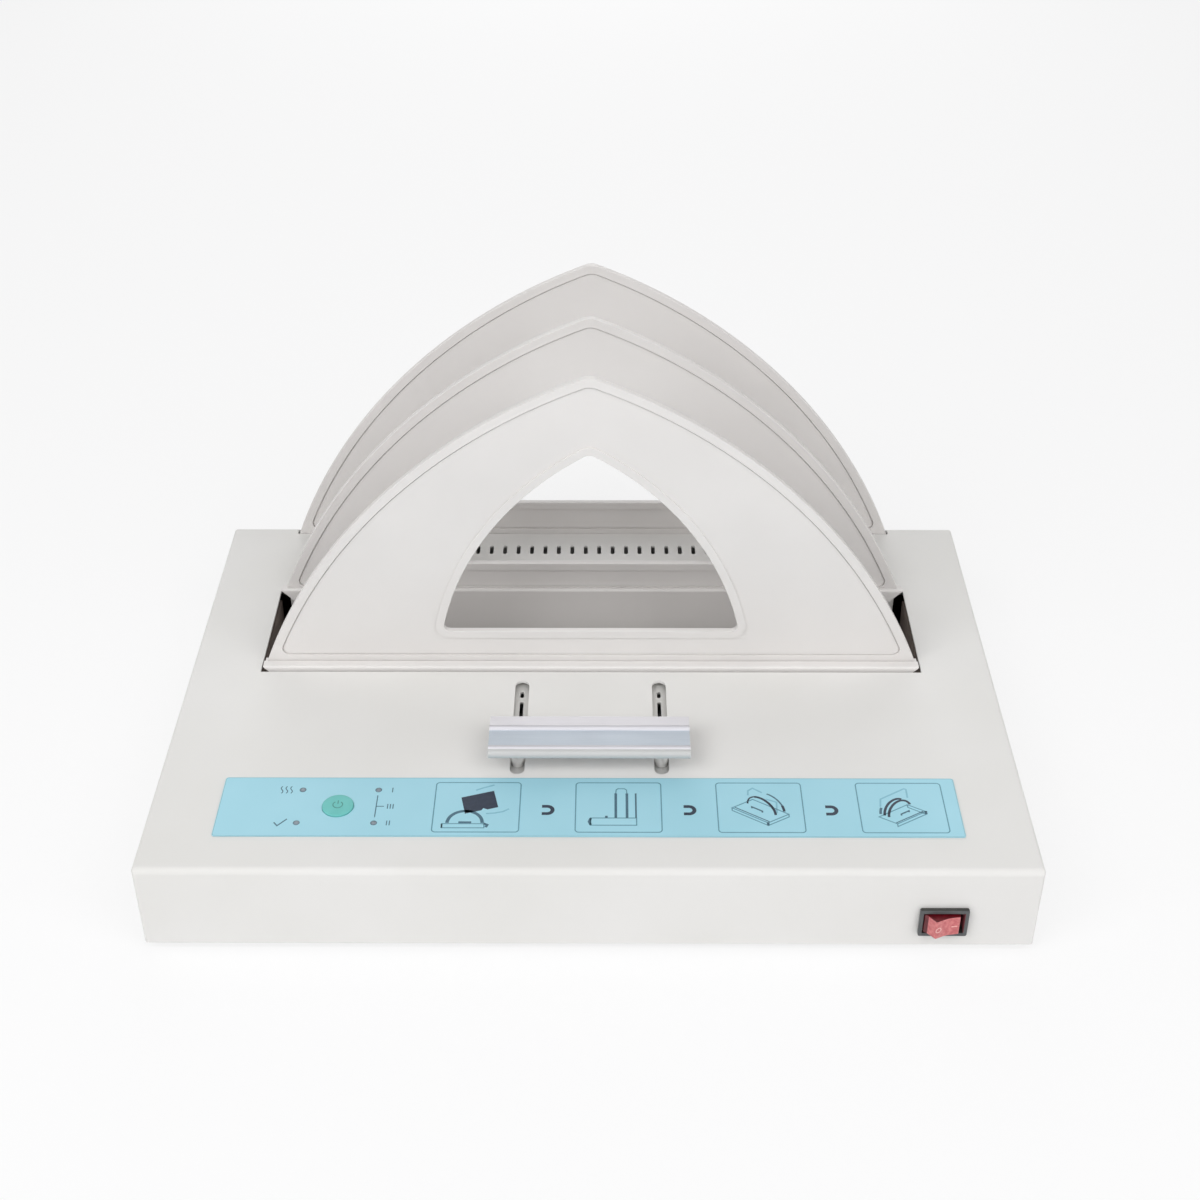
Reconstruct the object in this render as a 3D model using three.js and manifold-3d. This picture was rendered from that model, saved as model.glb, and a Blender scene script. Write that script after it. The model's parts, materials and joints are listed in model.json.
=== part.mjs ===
// Desktop thermal binding machine for A4 covers, in millimetres, +Z up.
// The origin is on the table, under the middle of the housing, and -Y is the front.
// A sheet-metal housing holds a long heating well. Two fixed pointed arches and one sliding arch
// stand over it: the handle pushes the front arch back, and it clamps the pages over the hot plate.
import * as THREE from "three";
import { mergeVertices } from "three/addons/utils/BufferGeometryUtils.js";
import Module from "manifold-3d";

const wasm = await Module();
wasm.setup();

// General fits
const seatGap = 0.2; // between pieces that are fastened to each other
const slideGap = 0.35; // between pieces that slide or turn in each other
const chordError = 0.07; // how far a facet may stray from its true curve
const overrun = 1; // how far a cut runs past the face that it cuts

// Housing: its width and depth follow from the well, the arches and the panel that it carries
const shellHeight = 43;
const sideMargin = 33.5; // from the well's ends to the housing's sides
const rearMargin = 5; // from the back arch's face to the rear wall
const sheet = 1.2;
const frontBend = 3;
const cornerBend = 1.6;
const panFlange = 12;
const footHeight = 4.5;
const footRadius = 8;
const footTaper = 1;
const footInset = 28;
const footStemRadius = 2.5;
const footBarb = 1;
const footBarbHeight = 2.4;
const footDimpleRadius = 3;
const footDimple = 1.2;

// Heating well in the deck: its width takes the 297 mm spine of an A4 cover with room to spare
const wellWidth = 318;
const wellRearGap = 1.8; // from the wall behind the middle arch to the opening's rear edge
const wallSheet = 1.5;
const wallEndGap = 4.4; // from the rear wall's ends to the well's
const wallFlange = 11;

// Arches: two circular sides that meet in a point, over a sill
const archEndGap = 2; // between the arch's ends and the opening's
const archHeight = 157;
const archRadius = 273;
const archTip = 8;
const archThickness = 3;
const archPitch = 57.3;
const archSetback = 6.6; // from the opening's front edge to the front arch's face
const cutoutHalfWidth = 70.7;
const cutoutSill = 19.4;
const cutoutHeight = 117.6;
const cutoutRadius = 145;
const cutoutTip = 5;
const cutoutCorner = 3;
const rimWidth = 4.1;
const lowerRim = 3; // height of the rim along the lower edge
const cutoutRim = 4;
const rimStep = 0.7;
const fieldCorner = 3.5;
const footStep = 2.7; // how far the middle arch's thick foot stands in front of its face
const footRise = 5.2;
const slideFootStep = 5.4; // the same for the front arch, whose foot is a low, wide ledge
const slideFootRise = 2.2;
const slideFootDrop = 9; // how far the front arch's ledge reaches under the deck
const footRound = 1.2;
const footEndGap = 1.2; // between the feet's ends and the well's
const footCut = 7; // of the slanting cut under each end of a foot
const footCutDrop = 0.5; // from the foot's top to its slanting cut
const footGroove = 0.7; // width of the groove between a foot and its arch's face
const footGrooveDepth = 0.8;
const skirtGap = 1.4; // between the lower edges of the well's arches and the hot plate
const rearSkirt = 8; // how far the back arch reaches under the deck
const archBracketLength = 40;
const archBracketFlange = 7.5;
const archBracketFromEnd = 62; // from the arch's ends to the middle of each bracket

// Carriage, handle and guide rails
const clampGap = 1.6; // left between the front arch and the middle arch's foot when clamped
const carriageDrop = 1.9; // from the deck's underside to the carriage plate
const carriageLip = 4; // how far the plate runs past the well's end walls
const plateCover = 5.5; // how far the plate runs past the front ends of the handle slots
const postFromEnd = 12.5; // from the handle's ends to the middle of each post
const postRadius = 3;
const handleSlotFront = 7.8; // from the post at rest to the slot's front end
const handleSlotRear = 3.8; // from the post at its rearmost to the slot's rear end
const handleSlotFromWell = 7;
const handleLength = 90;
const handleWidth = 25;
const handleThickness = 3.4;
const handleLift = 10.5; // from the deck to the bar's underside
const handleEdge = 1.6;
const beadRadius = 1.3;
const beadSpread = 14;
const beadRise = 0.9;
const channelDepth = 0.5;
const sightSlitWidth = 1.7;
const sightSlitLength = 30;
const sightSlitFromPost = 45; // from the post to the slit's rear end
const sightSlotLength = 4.8;
const sightSlotFromPost = 50.2; // from the post to the short slot's middle
const railLip = 1.3;
const railWall = 3;
const railStop = 3;
const handleScrewHead = 3.5;
const handleScrewHeadHeight = 2.2;
const handleScrewRadius = 1.5;
const handleScrewReach = 7;

// Heater under the well
const hotPlateThickness = 3.5;
const hotPlateEndGap = 8;
const hotPlateSideGap = 0.6;
const heaterThickness = 1.5;
const heaterMargin = 4;
const insulationThickness = 4;
const traySheet = 1;
const trayLip = 3.5;
const trayFootWidth = 8;
const trayFeet = 4;
const thermostatRadius = 8;
const thermostatFlange = 12;
const thermostatFlangeThickness = 1.2;
const thermostatHeight = 8.4;
const thermostatCap = 2.5;
const thermostatRoom = 1.2; // between the thermostat and the base pan
const thermostatBladeWidth = 6.3;
const thermostatBladeThickness = 0.8;
const thermostatBladeReach = 7;
const thermostatBladeDrop = 2.4; // from the flange down to the blades
const sensorGap = 1; // between the thermostat's flange and the heater's layers
const fuseRadius = 2;
const fuseLength = 11;
const fuseLeadRadius = 0.6;
const fuseLeadLength = 6;

// Cooling slots behind the middle arch
const ventCount = 36;
const ventPitch = 7.1;
const ventWidth = 2.1;
const ventLength = 8;
const ventFromArch = 11.5; // from the slots' rear ends to the back arch
const panVentCount = 12;
const panVentPitch = 12;
const panVentWidth = 3;
const panVentLength = 24;
const panVentFromRear = 34;

// Control label, button and lamps
const overlayOverhang = 3; // how far the label runs past the well's ends
const overlayDepth = 38.1;
const overlayThickness = 0.4;
const overlayFromFront = 20.6;
const slotFromOverlay = 3.2; // from the label's rear edge to the handle slots
const overlayCorner = 1.2;
const buttonFromEnd = 52.2; // from the label's left end
const buttonRadius = 7;
const buttonRise = 1;
const buttonDome = 0.5;
const buttonFlange = 1.4;
const buttonFlangeThickness = 0.7;
const buttonTravel = 0.4;
const lampSpreadX = 33.5;
const lampSpreadY = 21.4;
const lampRadius = 1.5;
const lampBase = 0.4;
const lampBaseHeight = 1;
const lampSink = 0.6; // from the deck down to the lamps' crowns
const boardThickness = 1.6;
const boardWidth = 64;
const boardInset = 3.75; // how far the control board's long edges lie inside the label's
const boardHoleInset = 3.5;
const spacerRadius = 2.6;
const keySwitchSize = 6;
const keySwitchHeight = 3.2;
const keySwitchFloor = 0.6;
const plungerRadius = 1.7;

// Power switch in the front wall
const switchFromSide = 40.5;
const switchRise = 14.7; // from the housing's lower edge to the switch's middle
const bezelLip = 1.1; // how far the bezel stands past the switch's body all round
const bezelThickness = 2;
const bezelChamfer = 0.7;
const switchSideWall = 0.55;
const switchEndWall = 0.7;
const switchBack = 2;
const rockerRoom = 2.7; // behind the rocker, for its contacts
const rockerRadius = 8.5;
const rockerHeight = 10.7;
const rockerTip = 6; // how far the rocker's two ends stand out from its pivot
const rockerSlope = 9.2; // of its two faces, which meet in a valley, in degrees
const rockerTilt = 17; // to each side, in degrees
const pivotBehindBezel = 1.8;
const pivotRadius = 1.2;
const pivotLength = 0.45;
const bladeWidth = 4.8;
const bladeThickness = 0.8;
const bladeReach = 7;
const bladePitch = 6.5;

// Mains inlet in the rear wall
const inletFromSide = 52;
const inletDrop = 24; // from the deck to the inlet's middle
const inletLip = 2; // how far the flange stands past the inlet's body all round
const inletFlangeThickness = 2;
const inletFlangeCorner = 2.5;
const inletWall = 1.4;
const inletBodyDepth = 19;
const inletMouthWidth = 24.2;
const inletMouthHeight = 16.6;
const inletMouthCut = 4.6;
const inletMouthDepth = 16;
const pinWidth = 4;
const pinThickness = 2;
const pinReach = 13; // from the bottom of the mouth towards the plug
const pinTail = 8;
const pinSpread = 14;
const pinStagger = 4;

// Power supply on the base pan
const powerBoardWidth = 84;
const powerBoardDepth = 40;
const powerBoardFromMiddle = 72;
const powerBoardFromFront = 34;
const bossRadius = 4;
const bossTop = 2.6;
const bossHeight = 5;
const coreLength = 34;
const coreDepth = 26;
const coreHeight = 23;
const coilBulge = 5;
const coilHeight = 15;
const relayLength = 19;
const relayDepth = 15;
const relayHeight = 15.5;
const terminalLength = 25;
const terminalDepth = 10;
const terminalHeight = 11;
const terminalWays = 5;
const terminalHoleRadius = 1.6;
const terminalStep = 4;
const powerPartMargin = 3;

// Screws through the housing's sides
const coverScrewHead = 2.9;
const coverScrewHeadHeight = 1.6;
const coverScrewRadius = 1.5;
const coverScrewReach = 5;
const coverScrewRise = 7;
const coverScrewInset = 41; // from the housing's front and rear
const crownShare = 0.62; // of the head's radius, where its crown begins to fall

// Sizes that follow from the sizes above
const footHalf = wellWidth / 2 - footEndGap;
const carriageTravel = archPitch - archThickness - footStep - clampGap;
const postSpread = handleLength - 2 * postFromEnd;
const handleSlotWidth = 2 * (postRadius + slideGap);
const handleSlotLength = handleSlotFront + 2 * postRadius + carriageTravel + handleSlotRear;
const archHalfWidth = wellWidth / 2 - archEndGap;
const panelDepth = overlayFromFront + overlayDepth + slotFromOverlay;
const wellFromFront = panelDepth + handleSlotLength + handleSlotFromWell;
const bodyWidth = wellWidth + 2 * sideMargin;
const bodyDepth = wellFromFront + archSetback + 2 * archPitch + rearMargin;
const halfWidth = bodyWidth / 2;
const halfDepth = bodyDepth / 2;
const wallReach = 3 * sheet; // how far a cut through a wall runs to both sides
const sensorRoom = 2 * (thermostatFlange + sensorGap); // for the thermostat and the fuse
const overlayWidth = wellWidth + 2 * overlayOverhang;
const boardDepth = overlayDepth - 2 * boardInset;
const switchBodyWidth = 2 * (rockerRadius + slideGap + switchSideWall);
const switchBodyHeight = rockerHeight + 2 * (slideGap + switchEndWall);
const pivotDepth = pivotBehindBezel - bezelThickness - seatGap; // from the front wall's face
const rockerLean = Math.asin(rockerTip / rockerRadius) + (rockerTilt * Math.PI) / 180;
const rockerReach = rockerRadius * Math.sin(rockerLean) - pivotDepth; // from the front wall's face
const switchBodyDepth = pivotDepth + rockerRadius + rockerRoom + switchBack;
const bezelWidth = switchBodyWidth + 2 * bezelLip;
const bezelHeight = switchBodyHeight + 2 * bezelLip;
const inletBodyWidth = inletMouthWidth + 2 * inletWall;
const inletBodyHeight = inletMouthHeight + 2 * inletWall;
const inletFlangeWidth = inletBodyWidth + 2 * inletLip;
const inletFlangeHeight = inletBodyHeight + 2 * inletLip;
const inletReach = seatGap + inletFlangeThickness; // from the rear wall's face
const setBack = (rockerReach - inletReach) / 2; // brings the middle of the whole over the origin

// Levels, from the table up
const deck = footHeight + shellHeight;
const deckUnder = deck - sheet;
const panTop = footHeight + sheet;
const hotPlateUnder = panTop + thermostatRoom + thermostatHeight + seatGap;
const hotPlateTop = hotPlateUnder + hotPlateThickness;
const insulationTop = hotPlateUnder - heaterThickness - 2 * seatGap;
const trayTop = insulationTop - insulationThickness - seatGap;
const skirtBottom = hotPlateTop + skirtGap;
const plateTop = deckUnder - carriageDrop;
const plateUnder = plateTop - wallSheet;
const buttonFlangeLow = deckUnder - slideGap - buttonFlangeThickness;
const keySwitchTop = buttonFlangeLow - buttonTravel - slideGap;
const boardTop = keySwitchTop - keySwitchHeight;
const overlayLow = deck + seatGap;
const overlayTop = overlayLow + overlayThickness;
const powerTop = panTop - sheet / 2 + bossHeight + seatGap + boardThickness;
const switchZ = footHeight + switchRise;
const inletZ = deck - inletDrop;

// Stations, from the front to the rear and from the left to the right
const sides = [
  ["left", -1],
  ["right", 1],
];
const overlayY = overlayFromFront + overlayDepth / 2 - halfDepth;
const powerY = powerBoardFromFront - halfDepth;
const wellFront = wellFromFront - halfDepth;
const handleSlotY = wellFront - handleSlotFromWell - handleSlotLength / 2;
const postY = wellFront - handleSlotFromWell - handleSlotRear - postRadius - carriageTravel;
const plateFront = postY - postRadius - handleSlotFront - plateCover;
const frontArchY = wellFront + archSetback;
const middleArchY = frontArchY + archPitch;
const backArchY = middleArchY + archPitch;
const plateRear = frontArchY - slideFootStep - seatGap;
const rearWallY = middleArchY + archThickness + seatGap;
const wellRear = rearWallY + wallSheet + wellRearGap;
const ventY = backArchY - ventFromArch - ventLength / 2;
const hotPlateFront = frontArchY + archThickness + hotPlateSideGap;
const hotPlateRear = middleArchY - footStep - hotPlateSideGap;
const hotPlateMiddle = (hotPlateFront + hotPlateRear) / 2;
const hotPlateHalf = wellWidth / 2 - hotPlateEndGap;
const plateHalfWidth = wellWidth / 2 + carriageLip;
const buttonX = buttonFromEnd - overlayWidth / 2;
const switchX = halfWidth - switchFromSide;
const inletX = halfWidth - inletFromSide;

// Shared operations: solids, cuts and joins

// Number of facets on an arc so that none strays more than chordError from it.
function facets(radius, angle) {
  const step = 2 * Math.acos(Math.max(0, 1 - chordError / radius));
  return Math.max(1, Math.ceil(Math.abs(angle) / step));
}

// Points along an arc, both ends included.
function arc(x, y, radius, from, to) {
  if (radius <= 0) return [new THREE.Vector2(x, y)];
  const count = facets(radius, to - from);
  return Array.from({ length: count + 1 }, (_, i) => {
    const angle = from + ((to - from) * i) / count;
    return new THREE.Vector2(x + radius * Math.cos(angle), y + radius * Math.sin(angle));
  });
}

function point(x, y) {
  return new THREE.Vector2(x, y);
}

function circle(x, y, radius) {
  return new THREE.Shape(arc(x, y, radius, 0, 2 * Math.PI).slice(0, -1));
}

// A rectangle with its own radius at each corner, from the lower left one round.
function roundedRectangle(left, right, low, high, corners) {
  const [lowerLeft, lowerRight, upperRight, upperLeft] = corners;
  const quarter = Math.PI / 2;
  return new THREE.Shape([
    ...arc(left + lowerLeft, low + lowerLeft, lowerLeft, 2 * quarter, 3 * quarter),
    ...arc(right - lowerRight, low + lowerRight, lowerRight, 3 * quarter, 4 * quarter),
    ...arc(right - upperRight, high - upperRight, upperRight, 0, quarter),
    ...arc(left + upperLeft, high - upperLeft, upperLeft, quarter, 2 * quarter),
  ]);
}

// A slot with round ends that runs along the second axis.
function slotShape(x, y, width, length) {
  const radius = width / 2;
  const reach = length / 2 - radius;
  return new THREE.Shape([
    ...arc(x, y + reach, radius, 0, Math.PI),
    ...arc(x, y - reach, radius, Math.PI, 2 * Math.PI),
  ]);
}

function solid(geometry) {
  const bare = geometry.clone();
  bare.deleteAttribute("normal");
  bare.deleteAttribute("uv");
  const merged = mergeVertices(bare, chordError / 100);
  return new wasm.Manifold(
    new wasm.Mesh({
      numProp: 3,
      vertProperties: new Float32Array(merged.attributes.position.array),
      triVerts: new Uint32Array(merged.index.array),
    }),
  );
}

// Extrusions: flat along Z, upright along Y, and lengthways along X.
function flat(shape, low, high) {
  const geometry = new THREE.ExtrudeGeometry(shape, { depth: high - low, bevelEnabled: false });
  return solid(geometry.translate(0, 0, low));
}

// The shape's axes are X and Z.
function upright(shape, front, rear) {
  const geometry = new THREE.ExtrudeGeometry(shape, { depth: rear - front, bevelEnabled: false });
  return solid(geometry.rotateX(Math.PI / 2).translate(0, rear, 0));
}

// The shape's axes are Y and Z.
function lengthways(shape, left, right) {
  const geometry = new THREE.ExtrudeGeometry(shape, { depth: right - left, bevelEnabled: false });
  return solid(geometry.rotateX(Math.PI / 2).rotateZ(Math.PI / 2).translate(left, 0, 0));
}

function box(left, right, front, rear, low, high) {
  const geometry = new THREE.BoxGeometry(right - left, rear - front, high - low);
  return solid(geometry.translate((left + right) / 2, (front + rear) / 2, (low + high) / 2));
}

// A turned piece on the Z axis, from [radius, height] pairs that start and end on the axis.
function turned(profile) {
  const points = profile.map(([radius, height]) => point(radius, height));
  const widest = Math.max(...points.map((p) => p.x));
  const geometry = new THREE.LatheGeometry(points, facets(widest, 2 * Math.PI));
  return solid(geometry.rotateX(Math.PI / 2));
}

function rod(x, y, radius, low, high) {
  return flat(circle(x, y, radius), low, high);
}

function joined(solids) {
  return solids.reduce((sum, next) => sum.add(next));
}

function cut(body, solids) {
  return solids.reduce((rest, next) => rest.subtract(next), body);
}

function mesh(name, body, material) {
  const { vertProperties, triVerts } = body.getMesh();
  const geometry = new THREE.BufferGeometry();
  geometry.setAttribute("position", new THREE.BufferAttribute(vertProperties, 3));
  geometry.setIndex(new THREE.BufferAttribute(triVerts, 1));
  const faceted = geometry.toNonIndexed();
  faceted.computeVertexNormals();
  const made = new THREE.Mesh(faceted, material);
  made.name = name;
  return made;
}

// Finishes
function finish(color, roughness, metalness = 0) {
  return new THREE.MeshStandardMaterial({ color, roughness, metalness });
}
const paintedSteel = finish(0xdedcd9, 0.55);
const archPlastic = finish(0xe2e0dd, 0.5);
const darkSteel = finish(0x4a4541, 0.6, 0.4);
const zincSteel = finish(0xc9cacb, 0.4, 0.8);
const aluminium = finish(0xc4cad3, 0.3, 0.9);
const hotAluminium = finish(0x8d8b88, 0.45, 0.8);
const rubber = finish(0x26262a, 0.9);
const nylon = finish(0xe9e7e1, 0.6);
const labelFilm = finish(0xa3d5e4, 0.4);
const greenPlastic = finish(0x76c6b8, 0.45);
const lampPlastic = finish(0xc8d2c6, 0.25);
const blackPlastic = finish(0x2e3033, 0.5);
const redPlastic = finish(0xc03038, 0.25);
const boardGreen = finish(0x2f6b45, 0.5);
const mineralBoard = finish(0xd9cfba, 0.85);
const heaterFilm = finish(0x7a5330, 0.6);
const copper = finish(0xb87440, 0.4, 0.8);
const brightSteel = finish(0xd0d2d4, 0.3, 0.9);

// Housing

// The folded cover: one box of sheet with its top edges bent, open below.
function coverShell(inset) {
  const front = Math.max(frontBend - inset, 0);
  const side = Math.max(cornerBend - inset, 0);
  const low = footHeight - (inset > 0 ? overrun : 0);
  const high = deck - inset;
  const across = roundedRectangle(inset - halfDepth, halfDepth - inset, low, high, [0, 0, side, front]);
  const along = roundedRectangle(inset - halfWidth, halfWidth - inset, low, high, [0, 0, side, side]);
  return lengthways(across, inset - halfWidth, halfWidth - inset).intersect(
    upright(along, inset - halfDepth, halfDepth - inset),
  );
}

function deckCut(shape) {
  return flat(shape, deckUnder - overrun, deck + overrun);
}

function deckSlot(x, y, width, length) {
  return deckCut(slotShape(x, y, width, length));
}

// The well's opening, the back arch's slot, the handle's slots, the air slots and the panel's holes.
function deckCuts() {
  const archSlotHalf = archHalfWidth + archEndGap / 2;
  const archSlotRear = backArchY + archThickness + slideGap;
  const low = deckUnder - overrun;
  const high = deck + overrun;
  return [
    box(-wellWidth / 2, wellWidth / 2, wellFront, wellRear, low, high),
    box(-archSlotHalf, archSlotHalf, backArchY - slideGap, archSlotRear, low, high),
    ...postPlaces().map((x) => deckSlot(x, handleSlotY, handleSlotWidth, handleSlotLength)),
    ...spaced(ventCount, ventPitch).map((x) => deckSlot(x, ventY, ventWidth, ventLength)),
    deckCut(circle(buttonX, overlayY, buttonRadius + slideGap)),
    ...lampPlaces().map(([x, y]) => deckCut(circle(x, y, lampRadius + seatGap))),
  ];
}

// Places in a row about the middle.
function spaced(count, pitch) {
  return Array.from({ length: count }, (_, i) => (i - (count - 1) / 2) * pitch);
}

function postPlaces() {
  return spaced(2, postSpread);
}

// Openings for the switch in the front wall and for the inlet in the rear one.
function wallOpenings(gap) {
  const openings = [
    [switchX, switchZ, switchBodyWidth / 2 + gap, switchBodyHeight / 2 + gap, -halfDepth],
    [inletX, inletZ, inletBodyWidth / 2 + gap, inletBodyHeight / 2 + gap, halfDepth],
  ];
  return openings.map(([x, z, half, high, wall]) =>
    box(x - half, x + half, wall - wallReach, wall + wallReach, z - high, z + high),
  );
}

function coverScrewHoles() {
  return coverScrewPlaces().map(([side, y, z]) => {
    const hole = circle(y, z, coverScrewRadius + seatGap);
    return lengthways(hole, side * halfWidth - wallReach, side * halfWidth + wallReach);
  });
}

function topCover() {
  const shell = coverShell(0).subtract(coverShell(sheet));
  const cuts = [...deckCuts(), ...wallOpenings(seatGap), ...coverScrewHoles()];
  return mesh("top_cover", cut(shell, cuts), paintedSteel);
}

// The base pan: a shallow tray inside the cover's lower edge, with four bosses for the power board.
// The switch and the inlet reach through notches in its walls.
function basePan() {
  const across = halfWidth - sheet - seatGap;
  const along = halfDepth - sheet - seatGap;
  const rim = panTop + panFlange;
  const outside = box(-across, across, -along, along, footHeight, rim);
  const inside = box(sheet - across, across - sheet, sheet - along, along - sheet, panTop, rim + overrun);
  const bosses = powerBoardCorners().map(([x, y]) =>
    turned([
      [0, 0],
      [bossRadius, 0],
      [bossTop, bossHeight],
      [0, bossHeight],
    ]).translate([x, y, panTop - sheet / 2]),
  );
  const low = footHeight - overrun;
  const high = panTop + overrun;
  const stems = footPlaces().map(([x, y]) => rod(x, y, footStemRadius + seatGap, low, high));
  const vents = spaced(panVentCount, panVentPitch).map((x) =>
    flat(slotShape(x, halfDepth - panVentFromRear, panVentWidth, panVentLength), low, high),
  );
  const cuts = [...stems, ...vents, ...coverScrewHoles(), ...wallOpenings(2 * seatGap)];
  return mesh("base_pan", cut(joined([outside.subtract(inside), ...bosses]), cuts), zincSteel);
}

// Four places that mirror each other: left and right at the front, then at the rear.
function fourPlaces(x, y) {
  return [
    [-x, -y],
    [x, -y],
    [-x, y],
    [x, y],
  ];
}

function footPlaces() {
  return fourPlaces(halfWidth - footInset, halfDepth - footInset);
}

// A push-in rubber foot: a tapered pad, a stem through the pan and a barb above it.
function rubberFoot(name, [x, y]) {
  const top = footHeight - seatGap;
  const barb = panTop + seatGap;
  const body = turned([
    [0, footDimple],
    [footDimpleRadius, footDimple],
    [footDimpleRadius, 0],
    [footRadius - footTaper, 0],
    [footRadius, top],
    [footStemRadius, top],
    [footStemRadius, barb],
    [footStemRadius + footBarb, barb],
    [footStemRadius, barb + footBarbHeight],
    [0, barb + footBarbHeight],
  ]);
  return mesh(name, body.translate([x, y, 0]), rubber);
}

function coverScrewPlaces() {
  const z = footHeight + coverScrewRise;
  return fourPlaces(1, halfDepth - coverScrewInset).map(([side, y]) => [side, y, z]);
}

// A round-headed screw along Z, its head's seat at zero.
function screw(headRadius, headHeight, radius, reach) {
  return turned([
    [0, -reach],
    [radius, -reach],
    [radius, 0],
    [headRadius, 0],
    [headRadius, headHeight / 2],
    [headRadius * crownShare, headHeight],
    [0, headHeight],
  ]);
}

function coverScrew(name, [side, y, z]) {
  const body = screw(coverScrewHead, coverScrewHeadHeight, coverScrewRadius, coverScrewReach);
  const turnedOut = body.rotate([0, side * 90, 0]);
  return mesh(name, turnedOut.translate([side * (halfWidth + seatGap), y, z]), zincSteel);
}

// Arches

// Centre of the circle that passes through two points, on the side away from the arch's outside.
function arcCentre(a, b, radius) {
  const middle = a.clone().add(b).multiplyScalar(1 / 2);
  const half = a.distanceTo(b) / 2;
  const away = b.clone().sub(a).normalize();
  const reach = Math.sqrt(radius * radius - half * half);
  return point(middle.x - away.y * reach, middle.y + away.x * reach);
}

// The pointed outline: a right side turned about a centre left of the middle, its mirror image,
// a small round at the tip, a round at each lower corner, and a straight base.
function pointedOutline(centre, radius, base, tip, corner, skirt = 0) {
  const tipY = centre.y + Math.sqrt((radius - tip) ** 2 - centre.x ** 2);
  const tipAngle = Math.atan2(tipY - centre.y, -centre.x);
  const cornerX = centre.x + Math.sqrt((radius - corner) ** 2 - (base + corner - centre.y) ** 2);
  const sideAngle = Math.atan2(base + corner - centre.y, cornerX - centre.x);
  const right = [
    ...arc(cornerX, base + corner, corner, -Math.PI / 2, sideAngle),
    ...arc(centre.x, centre.y, radius, sideAngle, tipAngle).slice(corner > 0 ? 1 : 0),
  ];
  if (skirt > 0) right.unshift(point(right[0].x, base - skirt));
  const crown = arc(0, tipY, tip, tipAngle, Math.PI - tipAngle).slice(1, -1);
  const left = right.map((p) => point(-p.x, p.y)).reverse();
  return [...right, ...crown, ...left];
}

const archCentre = arcCentre(point(archHalfWidth, 0), point(0, archHeight), archRadius);
const cutoutCentre = arcCentre(point(cutoutHalfWidth, cutoutSill), point(0, cutoutHeight), cutoutRadius);

// One moulded arch: a plate with raised rims round its edge and round its cut-out on both faces.
function archSolid(skirt, fieldBase) {
  const outer = new THREE.Shape(pointedOutline(archCentre, archRadius, 0, archTip, 0, skirt));
  const cutout = pointedOutline(cutoutCentre, cutoutRadius, cutoutSill, cutoutTip, cutoutCorner);
  outer.holes.push(new THREE.Path(cutout));
  const field = new THREE.Shape(
    pointedOutline(archCentre, archRadius - rimWidth, fieldBase, archTip, fieldCorner),
  );
  field.holes.push(
    new THREE.Path(
      pointedOutline(
        cutoutCentre,
        cutoutRadius + cutoutRim,
        cutoutSill - cutoutRim,
        cutoutTip + cutoutRim,
        cutoutCorner + cutoutRim,
      ),
    ),
  );
  return cut(upright(outer, 0, archThickness), [
    upright(field, -overrun, rimStep),
    upright(field, archThickness - rimStep, archThickness + overrun),
  ]);
}

// A thick foot with its upper front edge rounded and a groove along the arch's face.
function archFoot(step, rise, drop) {
  const profile = roundedRectangle(-step, archThickness, -drop, rise, [0, 0, 0, footRound]);
  const low = rise - footGrooveDepth;
  const reach = footHalf + overrun;
  const groove = box(-reach, reach, -footGroove, 0, low, rise + overrun);
  return lengthways(profile, -footHalf, footHalf).subtract(groove);
}

// The slanting cut under one end of a foot, and all that hangs below it.
function footEndCut(side, step, rise, skirt) {
  const high = rise - footCutDrop;
  const inner = footHalf - footCut;
  const outer = footHalf + overrun;
  const low = -skirt - overrun;
  const shape = new THREE.Shape([
    point(side * outer, high),
    point(side * footHalf, high),
    point(side * inner, high - footCut),
    point(side * inner, low),
    point(side * outer, low),
  ]);
  return upright(shape, -step - overrun, archThickness + overrun);
}

// An arch that stands in the well, on a foot. The field on its faces begins at the given height.
function wellArch(name, y, step, rise, drop, fieldBase) {
  const skirt = deck - skirtBottom;
  const whole = archSolid(skirt, fieldBase).add(archFoot(step, rise, drop));
  const ends = sides.map(([, side]) => footEndCut(side, step, rise, skirt));
  return mesh(name, cut(whole, ends).translate([0, y, deck]), archPlastic);
}

function frontArch() {
  const fieldBase = slideFootRise + lowerRim;
  return wellArch("front_arch", frontArchY, slideFootStep, slideFootRise, slideFootDrop, fieldBase);
}

function middleArch() {
  return wellArch("middle_arch", middleArchY, footStep, footRise, deck - skirtBottom, footRise);
}

function backArch() {
  return mesh("back_arch", archSolid(rearSkirt, lowerRim).translate([0, backArchY, deck]), archPlastic);
}

// An angle under the deck that holds the back arch's lower edge.
function archBracket(name, side) {
  const high = deckUnder - seatGap;
  const rear = backArchY - seatGap;
  const middle = side * (archHalfWidth - archBracketFromEnd);
  const left = middle - archBracketLength / 2;
  const right = middle + archBracketLength / 2;
  const body = joined([
    box(left, right, rear - archBracketFlange, rear, high - wallSheet, high),
    box(left, right, rear - wallSheet, rear, deck - rearSkirt, high),
  ]);
  return mesh(name, body, zincSteel);
}

// Well walls

// The wall behind the middle arch: a folded sheet that stands on the pan.
function wellRearWall() {
  const low = panTop + seatGap;
  const half = wellWidth / 2 - wallEndGap;
  const body = joined([
    box(-half, half, rearWallY, rearWallY + wallSheet, low, deckUnder - seatGap),
    box(-half, half, rearWallY, rearWallY + wallFlange, low, low + wallSheet),
  ]);
  return mesh("well_rear_wall", body, paintedSteel);
}

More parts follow.
